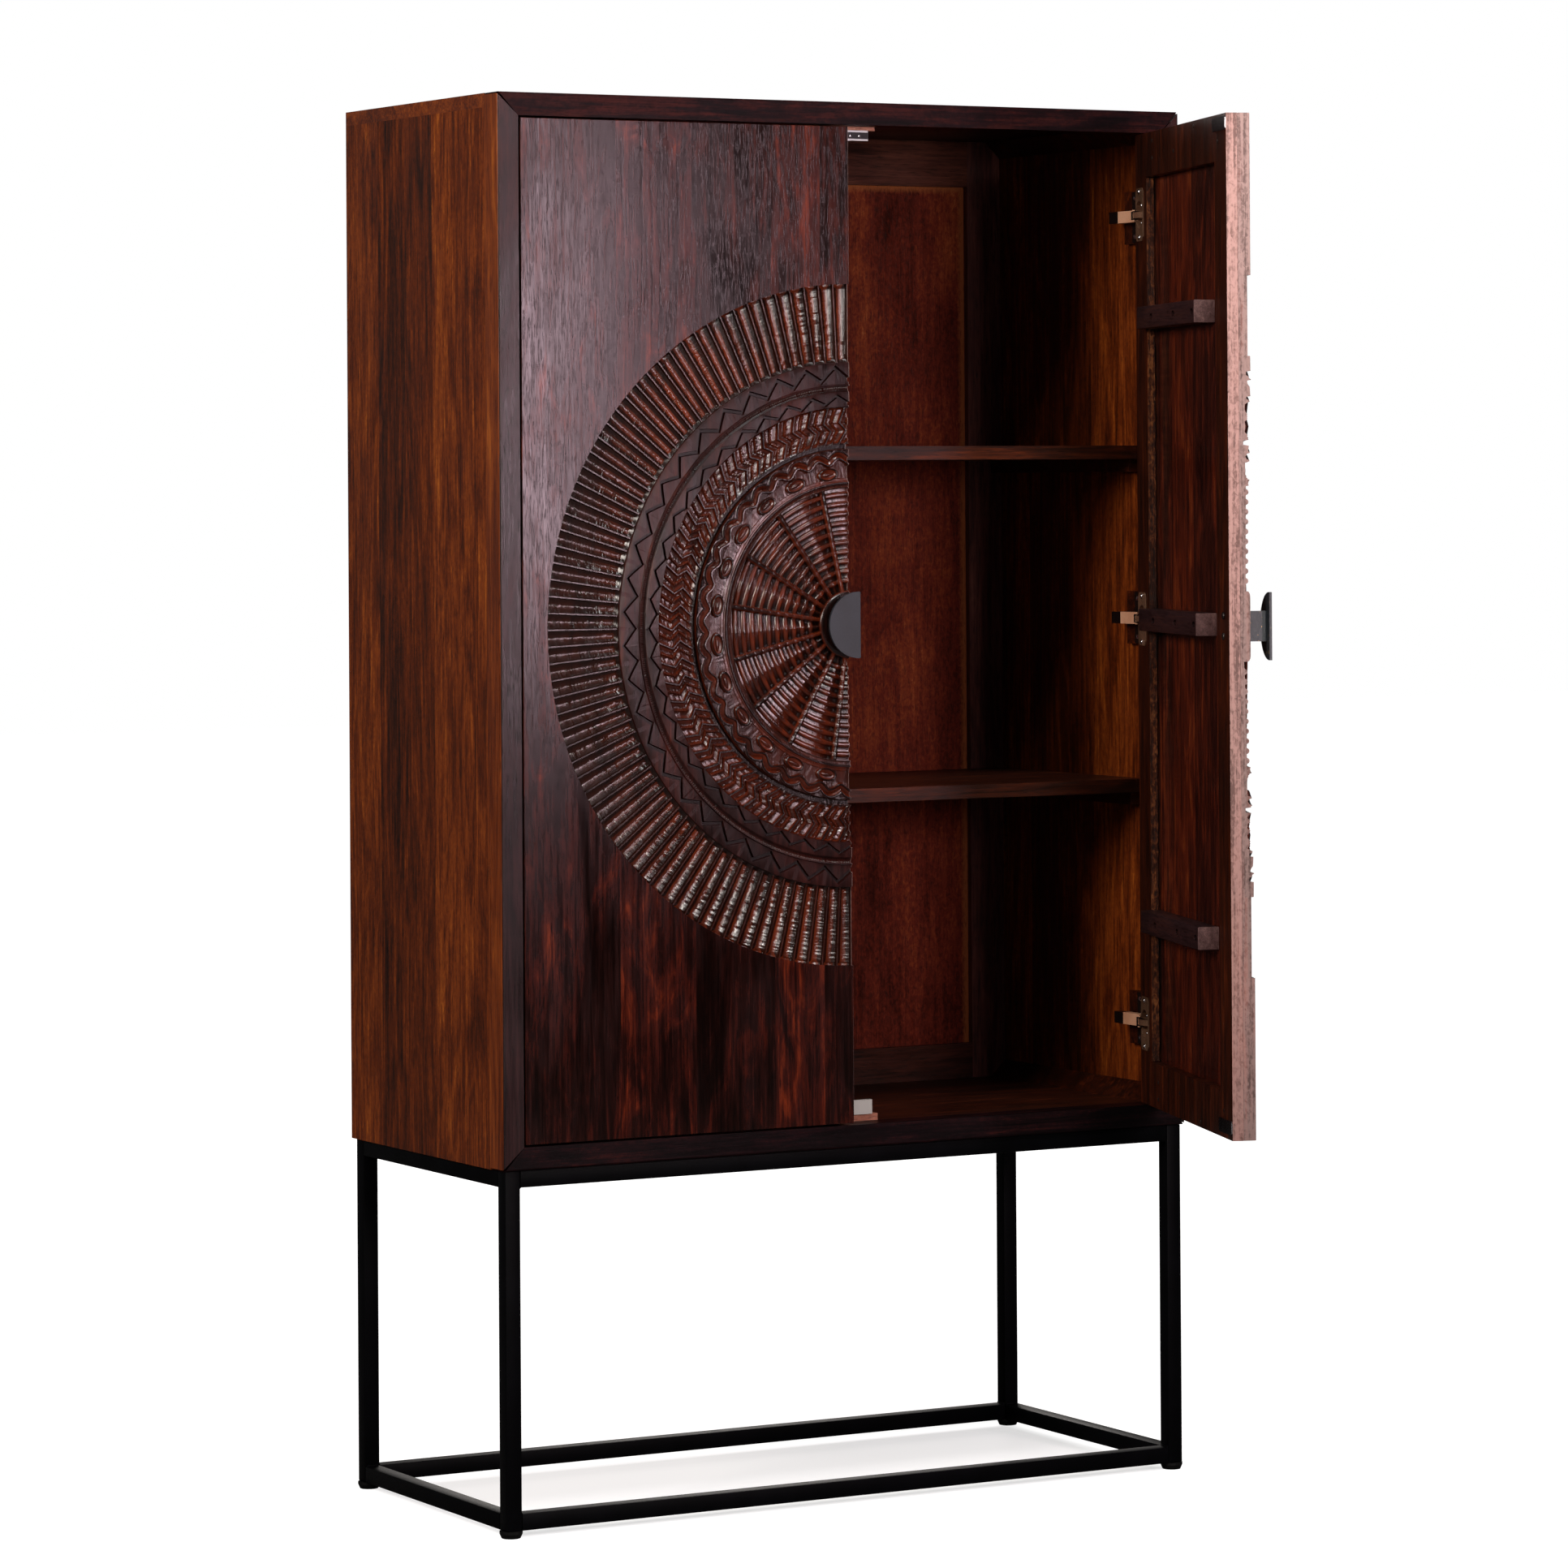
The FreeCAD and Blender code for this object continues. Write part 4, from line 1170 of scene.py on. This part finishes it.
@dataclass
class Hardware:
    """Screw heads of the doors, hinges and catches, seen on the inside."""

    hinge_heights: Place = (531.0, 1008.0, 1485.0)
    cup_x: float = 399.7
    cup_screws: tuple[Span, ...] = ((0.0, 27.0), (-12.0, 10.2))
    flange_face: float = 28.2
    plate_x: float = 422.0
    plate_y: float = 52.0
    plate_screw: float = 23.0
    catch_screws: Span = (19.0, 31.0)
    catch_y: float = 30.3
    catch_z: float = 1571.6
    handle_x: float = 26.0
    handle_screw: float = 11.5
    # Distance from the cabinet's middle and from the door's end
    rail_screws: tuple[Span, ...] = (
        (340.0, 11.0), (339.5, 31.0), (239.0, 29.0), (145.5, 6.0), (39.5, 9.0), (40.0, 30.0),
    )

    @staticmethod
    def screw(radius: float, height: float) -> Piece:
        """A domed screw head with a crossed recess, standing along Z.

        Args:
            radius: Its radius.
            height: Its height.

        Returns:
            The head.
        """
        shares = ((1.0, 0.0), (1.0, 0.35), (0.86, 0.75), (0.5, 0.97), (0.1, 1.0))
        steps = [(radius * wide, height * high) for wide, high in shares]
        head = turned_form("screw", 24, steps, Matrix.Identity(4))
        arm, thin, floor = radius * 0.62, radius * 0.15, height * 0.55
        for x, y in ((arm, thin), (thin, arm)):
            head = cut(head, block("recess", (-x, x), (-y, y), (floor, height + 1), 0))
        return smooth(head, 0.5)

    def build(self, finishes: Finishes) -> None:
        """Places the screws of both doors and of the cabinet.

        Args:
            finishes: Materials by name.
        """
        # Radius and height of each kind of head
        bright, dull = self.screw(3.1, 1.5), self.screw(2.4, 0.5)
        large, small = self.screw(4.2, 2.2), self.screw(1.6, 0.8)
        ends = [(-x, z) for x, drop in self.rail_screws for z in (DOOR.top - drop, DOOR.bottom + drop)]
        pair = [(-self.handle_x, DOOR.centre_z + way * self.handle_screw) for way in (-1, 1)]
        cups = [
            (head, -self.cup_x - shift, z + way * reach)
            for head, (shift, reach) in zip((bright, small), self.cup_screws)
            for z in self.hinge_heights
            for way in (-1, 1)
        ]
        for side in Side:
            body = f"{side.value}_door"
            for title, slot, finish, depth, spots in (
                ("rail", "hinge_steel", "dull_screw", DOOR.thickness, [(dull, x, z) for x, z in ends]),
                ("handle", "handle_finish", "dull_screw", DOOR.thickness, [(large, x, z) for x, z in pair]),
                ("cup", "hinge_steel", "chrome", self.flange_face, cups),
            ):
                heads = [
                    copy_to(head, "head", DOOR.placing(side) @ at(x, depth, z) @ facing((0, 1, 0)))
                    for head, x, z in spots
                ]
                finish_piece(joined(f"{body}_{title}_screws", heads), body, slot, finishes[finish])
        heads = []
        for way in (-1, 1):
            for z in self.hinge_heights:
                for up in (-1, 1):
                    place = at(way * self.plate_x, self.plate_y, z + up * self.plate_screw)
                    heads.append(copy_to(bright, "head", place @ facing((-way, 0, 0))))
            for x in self.catch_screws:
                place = at(way * x, self.catch_y, self.catch_z)
                heads.append(copy_to(small, "head", place @ facing((0, -1, 0))))
        screws = joined("cabinet_hinge_and_catch_screws", heads)
        finish_piece(screws, "cabinet", "hinge_steel", finishes["chrome"])
        for piece in (bright, dull, large, small):
            bpy.data.objects.remove(piece)


@dataclass
class Stand:
    """The welded stand of square tube."""

    ease: float = 1.6
    weld: float = 1.5
    weld_ease: float = 0.6

    def build(self, finishes: Finishes) -> None:
        """Builds every tube from the size of its node, and the weld beads at the corners.

        Args:
            finishes: Materials by name.
        """
        beads = []
        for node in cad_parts:
            if not node.startswith("stand_"):
                continue
            low, high = (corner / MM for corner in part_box(node))
            tube = block(f"{node}_tube", (low.x, high.x), (low.y, high.y), (low.z, high.z), self.ease)
            finish_piece(tube, "cabinet", "stand_paint", finishes["stand"], node)
            if "rail" in node:
                beads += self.welds(low, high, low.z if "upper" in node else high.z)
        finish_piece(joined("stand_weld_beads", beads), "cabinet", "stand_paint", finishes["stand"])

    def welds(self, low: Vector, high: Vector, face: float) -> list[Piece]:
        """Beads across a face of a rail, at both of its ends.

        Args:
            low: The rail's lower corner.
            high: Its upper corner.
            face: The height of the face that they lie on.

        Returns:
            The two beads.
        """
        size, middle = high - low, (low + high) / 2
        beads = []
        for end in (low, high):
            if size.x > size.y:
                length, place, axis = size.y, (end.x, middle.y, face), Axis.Y
            else:
                length, place, axis = size.x, (middle.x, end.y, face), Axis.X
            bead = rod("weld", self.weld, length - 2 * self.ease, place, axis, 12)
            beads.append(rounded(bead, self.weld_ease))
        return beads


@dataclass(frozen=True)
class Carcass:
    """Panels, frames, shelves, hinge plates, catches and feet, which the CAD part carries over."""

    # How a node's name starts, and the finish that it takes
    surfaces: tuple[tuple[str, str], ...] = (
        ("side_panel", "side"), ("top_panel", "top"), ("face_stile", "face_upright"),
        ("face_rail", "face_across"), ("back_panel", "panel"), ("back_stile", "back_upright"),
        ("back_rail", "back_across"), ("bottom_panel", "inner"), ("lower_shelf", "inner"),
        ("upper_shelf", "inner"), ("shelf_cleats", "inner"), ("corner_strips", "inner"),
        ("hinge_packers", "inner"), ("hinge_arms", "arm"), ("hinge_mounting_plates", "hinge"),
        ("magnetic_catch_bars", "bar"), ("magnetic_catch_cases", "case"), ("upper_catch_block", "block"),
        ("lower_catch_block", "block"), ("lower_catches", "grey"), ("levelling_foot", "foot"),
    )

    def build(self, finishes: Finishes) -> None:
        """Gives the nodes their finishes.

        Args:
            finishes: Materials by name.
        """
        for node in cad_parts:
            for start, finish in self.surfaces:
                if node.startswith(start):
                    dress(node, finishes[finish])


# ---- Studio


@dataclass(frozen=True)
class Lamp:
    """A rectangular soft lamp. Its place, its target and its width and height are in metres."""

    name: str
    place: Place
    target: Place
    size: Span
    watts: float
    colour: str

    def build(self) -> None:
        """Adds the lamp, which the camera doesn't see."""
        deselect()
        bpy.ops.object.light_add(type="AREA", location=self.place)
        lamp = bpy.context.active_object
        lamp.name = self.name
        lamp.rotation_euler = (Vector(self.target) - Vector(self.place)).to_track_quat("-Z", "Y").to_euler()
        lamp.data.shape = "RECTANGLE"
        lamp.data.size, lamp.data.size_y = self.size
        lamp.data.energy = self.watts
        lamp.data.color = linear(self.colour)[:3]
        lamp.visible_camera = False


@dataclass(frozen=True)
class Studio:
    """Pale floor with a painted shadow under the stand, soft lamps and the camera. Places are in metres."""

    camera_place: Place = (-3.2720, -5.7227, 1.1678)
    yaw: float = 29.09
    pitch: float = 0.334
    roll: float = -0.363
    focal_pixels: float = 7075.0
    centre_row: float = 557.2
    picture: float = 1932.0
    sensor: float = 36.0
    lamps: tuple[Lamp, ...] = (
        Lamp("key_lamp", (-3.5, -1.25, 2.35), (0, 0.1, 1.05), (0.9, 1.4), 122.0, "#fff4ea"),
        Lamp("fill_lamp", (-0.28, -4.8, 1.5), (0.15, 0.2, 1.05), (0.6, 0.9), 92.0, "#fff8f2"),
        Lamp("sheen_lamp", (0.64, -2.2, 1.32), (-0.3, 0.0, 1.3), (0.22, 0.96), 22.0, "#ffdce8"),
        Lamp("back_lamp", (2.2, 4.4, 2.3), (0, 0.3, 1.0), (1.4, 1.4), 75.0, "#fff8f2"),
        Lamp("top_lamp", (-0.3, -1.7, 3.7), (0, 0.2, 1.2), (0.9, 0.5), 52.0, "#ffffff"),
    )
    # Middle and half size of the stand's footprint, where the floor has a painted shadow, from left to right
    # and from front to back
    footprint: tuple[Span, Span] = ((0.0, 0.436), (0.2, 0.186))

    def camera(self) -> None:
        """Sets up the camera at the photograph's viewing angle."""
        yaw, pitch, roll = (math.radians(a) for a in (self.yaw, self.pitch, self.roll))
        ahead = Vector((math.sin(yaw) * math.cos(pitch), math.cos(yaw) * math.cos(pitch), math.sin(pitch)))
        right = Vector((math.cos(yaw), -math.sin(yaw), 0.0))
        up = right.cross(ahead)
        across = right * math.cos(roll) + up * math.sin(roll)
        above = up * math.cos(roll) - right * math.sin(roll)
        turn = Matrix((across, above, -ahead)).transposed().to_4x4()
        deselect()
        bpy.ops.object.camera_add(location=self.camera_place)
        camera = bpy.context.active_object
        camera.name = "product_camera"
        camera.matrix_world = Matrix.Translation(self.camera_place) @ turn
        camera.data.sensor_width = self.sensor
        camera.data.lens = self.focal_pixels * self.sensor / self.picture
        camera.data.shift_y = (self.centre_row - self.picture / 2) / self.picture
        camera.data.clip_end = 100.0
        bpy.context.scene.camera = camera

    def sky(self) -> None:
        """A white world to the camera that lights the object gently and shows little in its gloss."""
        world = bpy.data.worlds.new("studio_world")
        bpy.context.scene.world = world
        world.use_nodes = True
        tree = world.node_tree
        tree.nodes.clear()
        path = put(tree, "LightPath").node.outputs
        sharp = put(tree, "Math.MAXIMUM", path["Is Glossy Ray"], path["Is Transmission Ray"])
        # A tenth of its light for the object, half as much again in reflections, all of it for the camera
        dim = put(tree, "Math.MULTIPLY_ADD", sharp, 0.05, 0.1)
        level = put(tree, "Math.MAXIMUM", path["Is Camera Ray"], dim)
        put(tree, "OutputWorld", put(tree, "Background", Color="#ffffff", Strength=level))

    def floor(self) -> None:
        """A pale floor, glowing to the camera round the stand, with a painted shadow in the stand's footprint
        and a weaker glow near the stand that lets the object's own shadow show.
        """
        deselect()
        bpy.ops.mesh.primitive_plane_add(size=40.0, location=(0, 0, -0.0005))
        floor = named("studio_floor")
        material, tree = fresh_material("pale studio floor")
        path = put(tree, "LightPath").node.outputs
        here = put(tree, "TexCoord").node.outputs["Object"]
        gaps = []
        for value, (middle, half) in zip(put(tree, "SeparateXYZ", here).node.outputs, self.footprint):
            away = put(tree, "Math.ABSOLUTE", put(tree, "Math.SUBTRACT", value, middle))
            gaps.append(put(tree, "Math.SUBTRACT", away, half))
        outside = put(tree, "Math.MAXIMUM", *gaps)
        # Painted shadow: the glow is weakest inside the footprint, then it reaches its full strength 1.6 m
        # away
        shade = put(tree, "MapRange", outside, -0.012, 0.004, 0.3, 0.0)
        far = put(tree, "MapRange", outside, 0.1, 1.6, 0.9, 1.0)
        glow = put(tree, "Emission", Color="#ffffff", Strength=put(tree, "Math.SUBTRACT", far, shade))
        lit = put(tree, "AddShader", put(tree, "BsdfDiffuse", Color="#b0b0b0"), glow)
        plain = put(tree, "BsdfDiffuse", Color="#6c6c6c")
        put(tree, "OutputMaterial", put(tree, "MixShader", path["Is Camera Ray"], plain, lit))
        floor.data.materials.append(material)

    def build(self) -> None:
        """Builds the whole studio."""
        self.camera()
        for lamp in self.lamps:
            lamp.build()
        self.sky()
        self.floor()
        bpy.context.scene.view_settings.view_transform = "Standard"


# ---- The cabinet's finishes

# Shelves and door frames
THIN_STAIN = ((0.0, "#0a0301"), (0.35, "#1a0803"), (0.6, "#331104"), (0.8, "#582208"), (1.0, "#8e430f"))


def door_finishes(side: Side, seed: float) -> Finishes:
    """Builds the woods of one door.

    Args:
        side: The door.
        seed: Its place in the pattern, so that the two doors are cut from different boards.

    Returns:
        Materials by the name of the surface that they are for.
    """
    dark = ((0.0, "#040101"), (0.3, "#0d0302"), (0.5, "#1b0705"), (0.7, "#340f08"), (1.0, "#682610"))
    within = ((0.0, "#0a0302"), (0.3, "#1b0806"), (0.5, "#33120b"), (0.7, "#561e0f"), (1.0, "#7c3a18"))
    carved = ((0.0, "#070303"), (0.4, "#140807"), (0.7, "#250f0b"), (1.0, "#431b0e"))
    flat = ((0.0, "#0a0303"), (0.4, "#1c0a09"), (0.7, "#301310"), (1.0, "#55241a"))
    batten = ((0.0, "#090505"), (0.4, "#170e0f"), (0.65, "#241618"), (1.0, "#361d1a"))
    sawn = ((0.0, "#2c1c1c"), (0.4, "#4c3534"), (0.65, "#624847"), (1.0, "#8a6a66"))
    torn = ((0.0, "#160603"), (0.42, "#2c1208"), (0.6, "#522814"), (1.0, "#9a5e34"))
    staves = ((-500.0, 0.42), (-302.0, 0.7), (-206.0, 0.3), (-104.0, 0.7), (-40.0, 0.42), (2.0, 0.5))
    # Hand carved and lacquered: crisp highlights on the crests, red wood in the cuts, painted shade in the
    # deep corners
    carving = Wood(
        "carved dark stained mango", carved, staves, seed=seed, edge="#a08881", groove="#5a200c",
        roughness=0.2, ior=1.42, painted_depth_shade=((0.0, 0.0), (5.6, 0.0), (7.7, 0.6), (9.3, 0.95)),
    )
    woods = {
        # Planed, stained nearly black and lacquered: red flames show through, and a lamp lies on it as sheen
        "board": Wood(
            "dark stained mango board", dark, staves, flame=0.3, seed=seed, edge="#a78e87", roughness=0.17,
            relief=0.12, inside=within,
        ),
        "carving": carving,
        # Gouged flutes: painted shade in black on their walls and towards the hinge side, red wood on their
        # floors
        "flutes": replace(
            carving, title="gouged dark stained mango", groove="#702e16", painted_side_shade=(-330.0, -200.0, 0.85),
            painted_depth_shade=((0.0, 0.0), (3.9, 0.0), (4.7, 0.95), (7.9, 0.9), (8.5, 0.15)),
        ),
        # Flat bands, rubbed down: duller than the crests beside them, with painted shade in their cut lines
        "bands": replace(
            carving, title="satin dark stained mango", tones=flat, roughness=0.32, ior=1.27, groove="#5c1c10",
            painted_depth_shade=((0.0, 0.0), (2.7, 0.0), (3.1, 0.5), (4.9, 0.55), (5.3, 0.97)),
        ),
        # One thin coat: brown grain, and bare pinkish wood where the free edge is sawn
        "door_frame": Wood("thinly stained mango frame", THIN_STAIN, seed=seed + 1, edge="#bc988f"),
        # Nearly black battens with pale sawn ends
        "batten": Wood("dark mango batten", batten, grain=Grain.ACROSS, seed=seed + 2, end_grain=sawn),
        # Torn by the saw and left so: rough, dull and spotted
        "raw": Wood("torn mango fibres", torn, seed=seed + 3, relief=0.8, roughness=0.6, speckle=1.4),
    }
    return {f"{name}_{side.value}": wood.material(side) for name, wood in woods.items()}


def cabinet_woods() -> Finishes:
    """Builds the woods of the carcass, face frame, back and shelves.

    Returns:
        Materials by the name of the surface that they are for.
    """
    lintel = ((0.0, "#040202"), (0.4, "#0a0405"), (0.65, "#160709"), (1.0, "#321210"))
    front = ((0.0, "#080303"), (0.4, "#160808"), (0.65, "#271010"), (1.0, "#401a12"))
    warm = ((0.0, "#120502"), (0.25, "#301205"), (0.5, "#522007"), (0.75, "#74350f"), (1.0, "#a0581c"))
    back = ((0.0, "#100504"), (0.35, "#28100c"), (0.6, "#3e1a13"), (1.0, "#693628"))
    panel = ((0.0, "#1a0605"), (0.3, "#40140e"), (0.55, "#672318"), (0.8, "#8c3c20"), (1.0, "#b0643a"))
    stile = ((0.0, "#1c0d0c"), (0.35, "#402220"), (0.6, "#5e332e"), (1.0, "#8c5448"))
    bare = ((0.0, "#4a2a20"), (0.4, "#7a4c3c"), (0.65, "#9a6450"), (1.0, "#c89078"))
    staves = (
        (-20.0, 0.9), (33.0, 0.68), (105.0, 0.8), (168.0, 0.22), (240.0, 0.05), (313.0, 0.75), (420.0, 0.7),
    )
    woods = {
        # Stained nearly black under satin lacquer; the sides' warm stain runs over the stiles' flanks
        "face_upright": Wood("dark mango face stile", front, seed=2.0, roughness=0.3, flank=warm),
        # Darker than the stiles, as painted shade on the rails, with a dull lacquer: only a little red grain
        # shows
        "face_across": Wood(
            "dark mango face rail", lintel, grain=Grain.ACROSS, seed=3.0, ior=1.16, roughness=0.42,
            figure=1.4, fibre=1.2, speckle=0.6,
        ),
        "top": Wood("dark mango top", front, grain=Grain.FLAT, seed=5.0, flank=warm),
        # Thinly lacquered shelves: orange brown streaks in the light, nearly black in the shade
        "inner": Wood("stained mango shelf", THIN_STAIN, grain=Grain.FLAT, seed=6.0),
        # A red brown panel, mottled like leather, rubbed to orange along its edges
        "panel": Wood(
            "red brown mottled mango back", panel, seed=7.0, figure=0.6, fibre=0.4, blotch=1.1, speckle=0.8,
            ior=1.2, worn_frame=(380.5, 1532.5, "#94502c"),
        ),
        # Duller and greyer than the panel that they hold
        "back_upright": Wood("dark brown mango back stile", stile, seed=7.5),
        "back_across": Wood("dark brown mango back rail", back, grain=Grain.ACROSS, seed=8.0),
        # Warm orange staves beside chocolate ones, with a quiet satin
        "side": Wood(
            "warm stained mango side", warm, staves, Grain.SIDE, seed=9.0, stave_tone=0.3, ior=1.25,
            figure=1.2, fibre=1.0, speckle=0.45,
        ),
        # Offcuts without stain: pale and pinkish
        "block": Wood("bare mango catch block", bare, grain=Grain.ACROSS, seed=11.0, speckle=0.6),
    }
    return {name: wood.material() for name, wood in woods.items()}


def fitting_finishes() -> Finishes:
    """Builds the finishes of the stand, feet, handles, hinges, catches and screws.

    Returns:
        Materials by the name of the surface that they are for.
    """
    iron = Sprayed("blackened cast iron", "#1a2027", "#12171c", 0.5, metallic=0.1, grit=1.8)
    fittings = {
        # Powder coat: an even black that swallows nearly every highlight
        "stand": Sprayed("black powder coated steel", "#020203", "#040406", 0.5, shine=0.04),
        "foot": Sprayed("black moulded nylon", "#050505", "#0a0a0a", 0.55, grit=0.6, shine=0.12),
        # Cast and blackened: a cold blue grey with a coarse grit; the right one shows brass coloured chips
        "handle_left": iron,
        "handle_right": replace(iron, title="chipped blackened cast iron", chips="#b08a52"),
        # Plated pressed steel: dark where it mirrors the cabinet, bright on bends; painted shade on the arm's
        # rear
        "hinge": Sprayed("dark nickel plated steel", "#2a2523", "#14110f", 0.3, metallic=0.8, grit=0.8),
        "copper": Sprayed("copper flashed steel", "#8f6a54", "#54402f", 0.3, metallic=0.6, grit=0.8),
        "arm": Sprayed(
            "copper flashed hinge arm", "#ecb795", "#c98e6c", 0.32, metallic=0.45, grit=0.8, painted_rear="#0b0909"
        ),
        "strike": Sprayed("dark zinc plated steel", "#6d6a6c", "#3c3a3e", 0.25, metallic=1.0, grit=0.8),
        # The bars' brightness is partly painted: a near white colour with little metal, as a painted
        # reflection
        "bar": Sprayed("bright chromed steel", "#f2f2f4", "#cfcfd3", 0.18, metallic=0.4, grit=0.8),
        # Screws: blackened ones vanish in the wood, plated ones glint
        "dull_screw": Sprayed("blackened steel screw", "#3a3230", "#171312", 0.4, metallic=0.7, grit=0.5),
        "chrome": Sprayed("bright zinc plated steel", "#c9c9cc", "#8c8c90", 0.2, metallic=1.0, grit=0.8),
        # Moulded plastics: even colour and a soft wide highlight
        "case": Sprayed("black moulded plastic", "#100d10", "#0a080a", 0.4, grit=0.5, shine=0.3),
        "grey": Sprayed("grey translucent nylon", "#a09e98", "#8a8984", 0.4, grit=0.5),
    }
    return {name: fitting.material() for name, fitting in fittings.items()}


def main() -> None:
    """Builds the studio, the finishes and the cabinet's pieces in order."""
    logging.basicConfig(level=logging.INFO, format="%(message)s")
    Studio().build()
    finishes = {**door_finishes(Side.LEFT, 0.0), **door_finishes(Side.RIGHT, 4.3)}
    finishes |= {**cabinet_woods(), **fitting_finishes()}
    for part in (Carcass(), Stand(), Doors(), Hardware()):
        part.build(finishes)


if __name__ == "__main__":
    main()
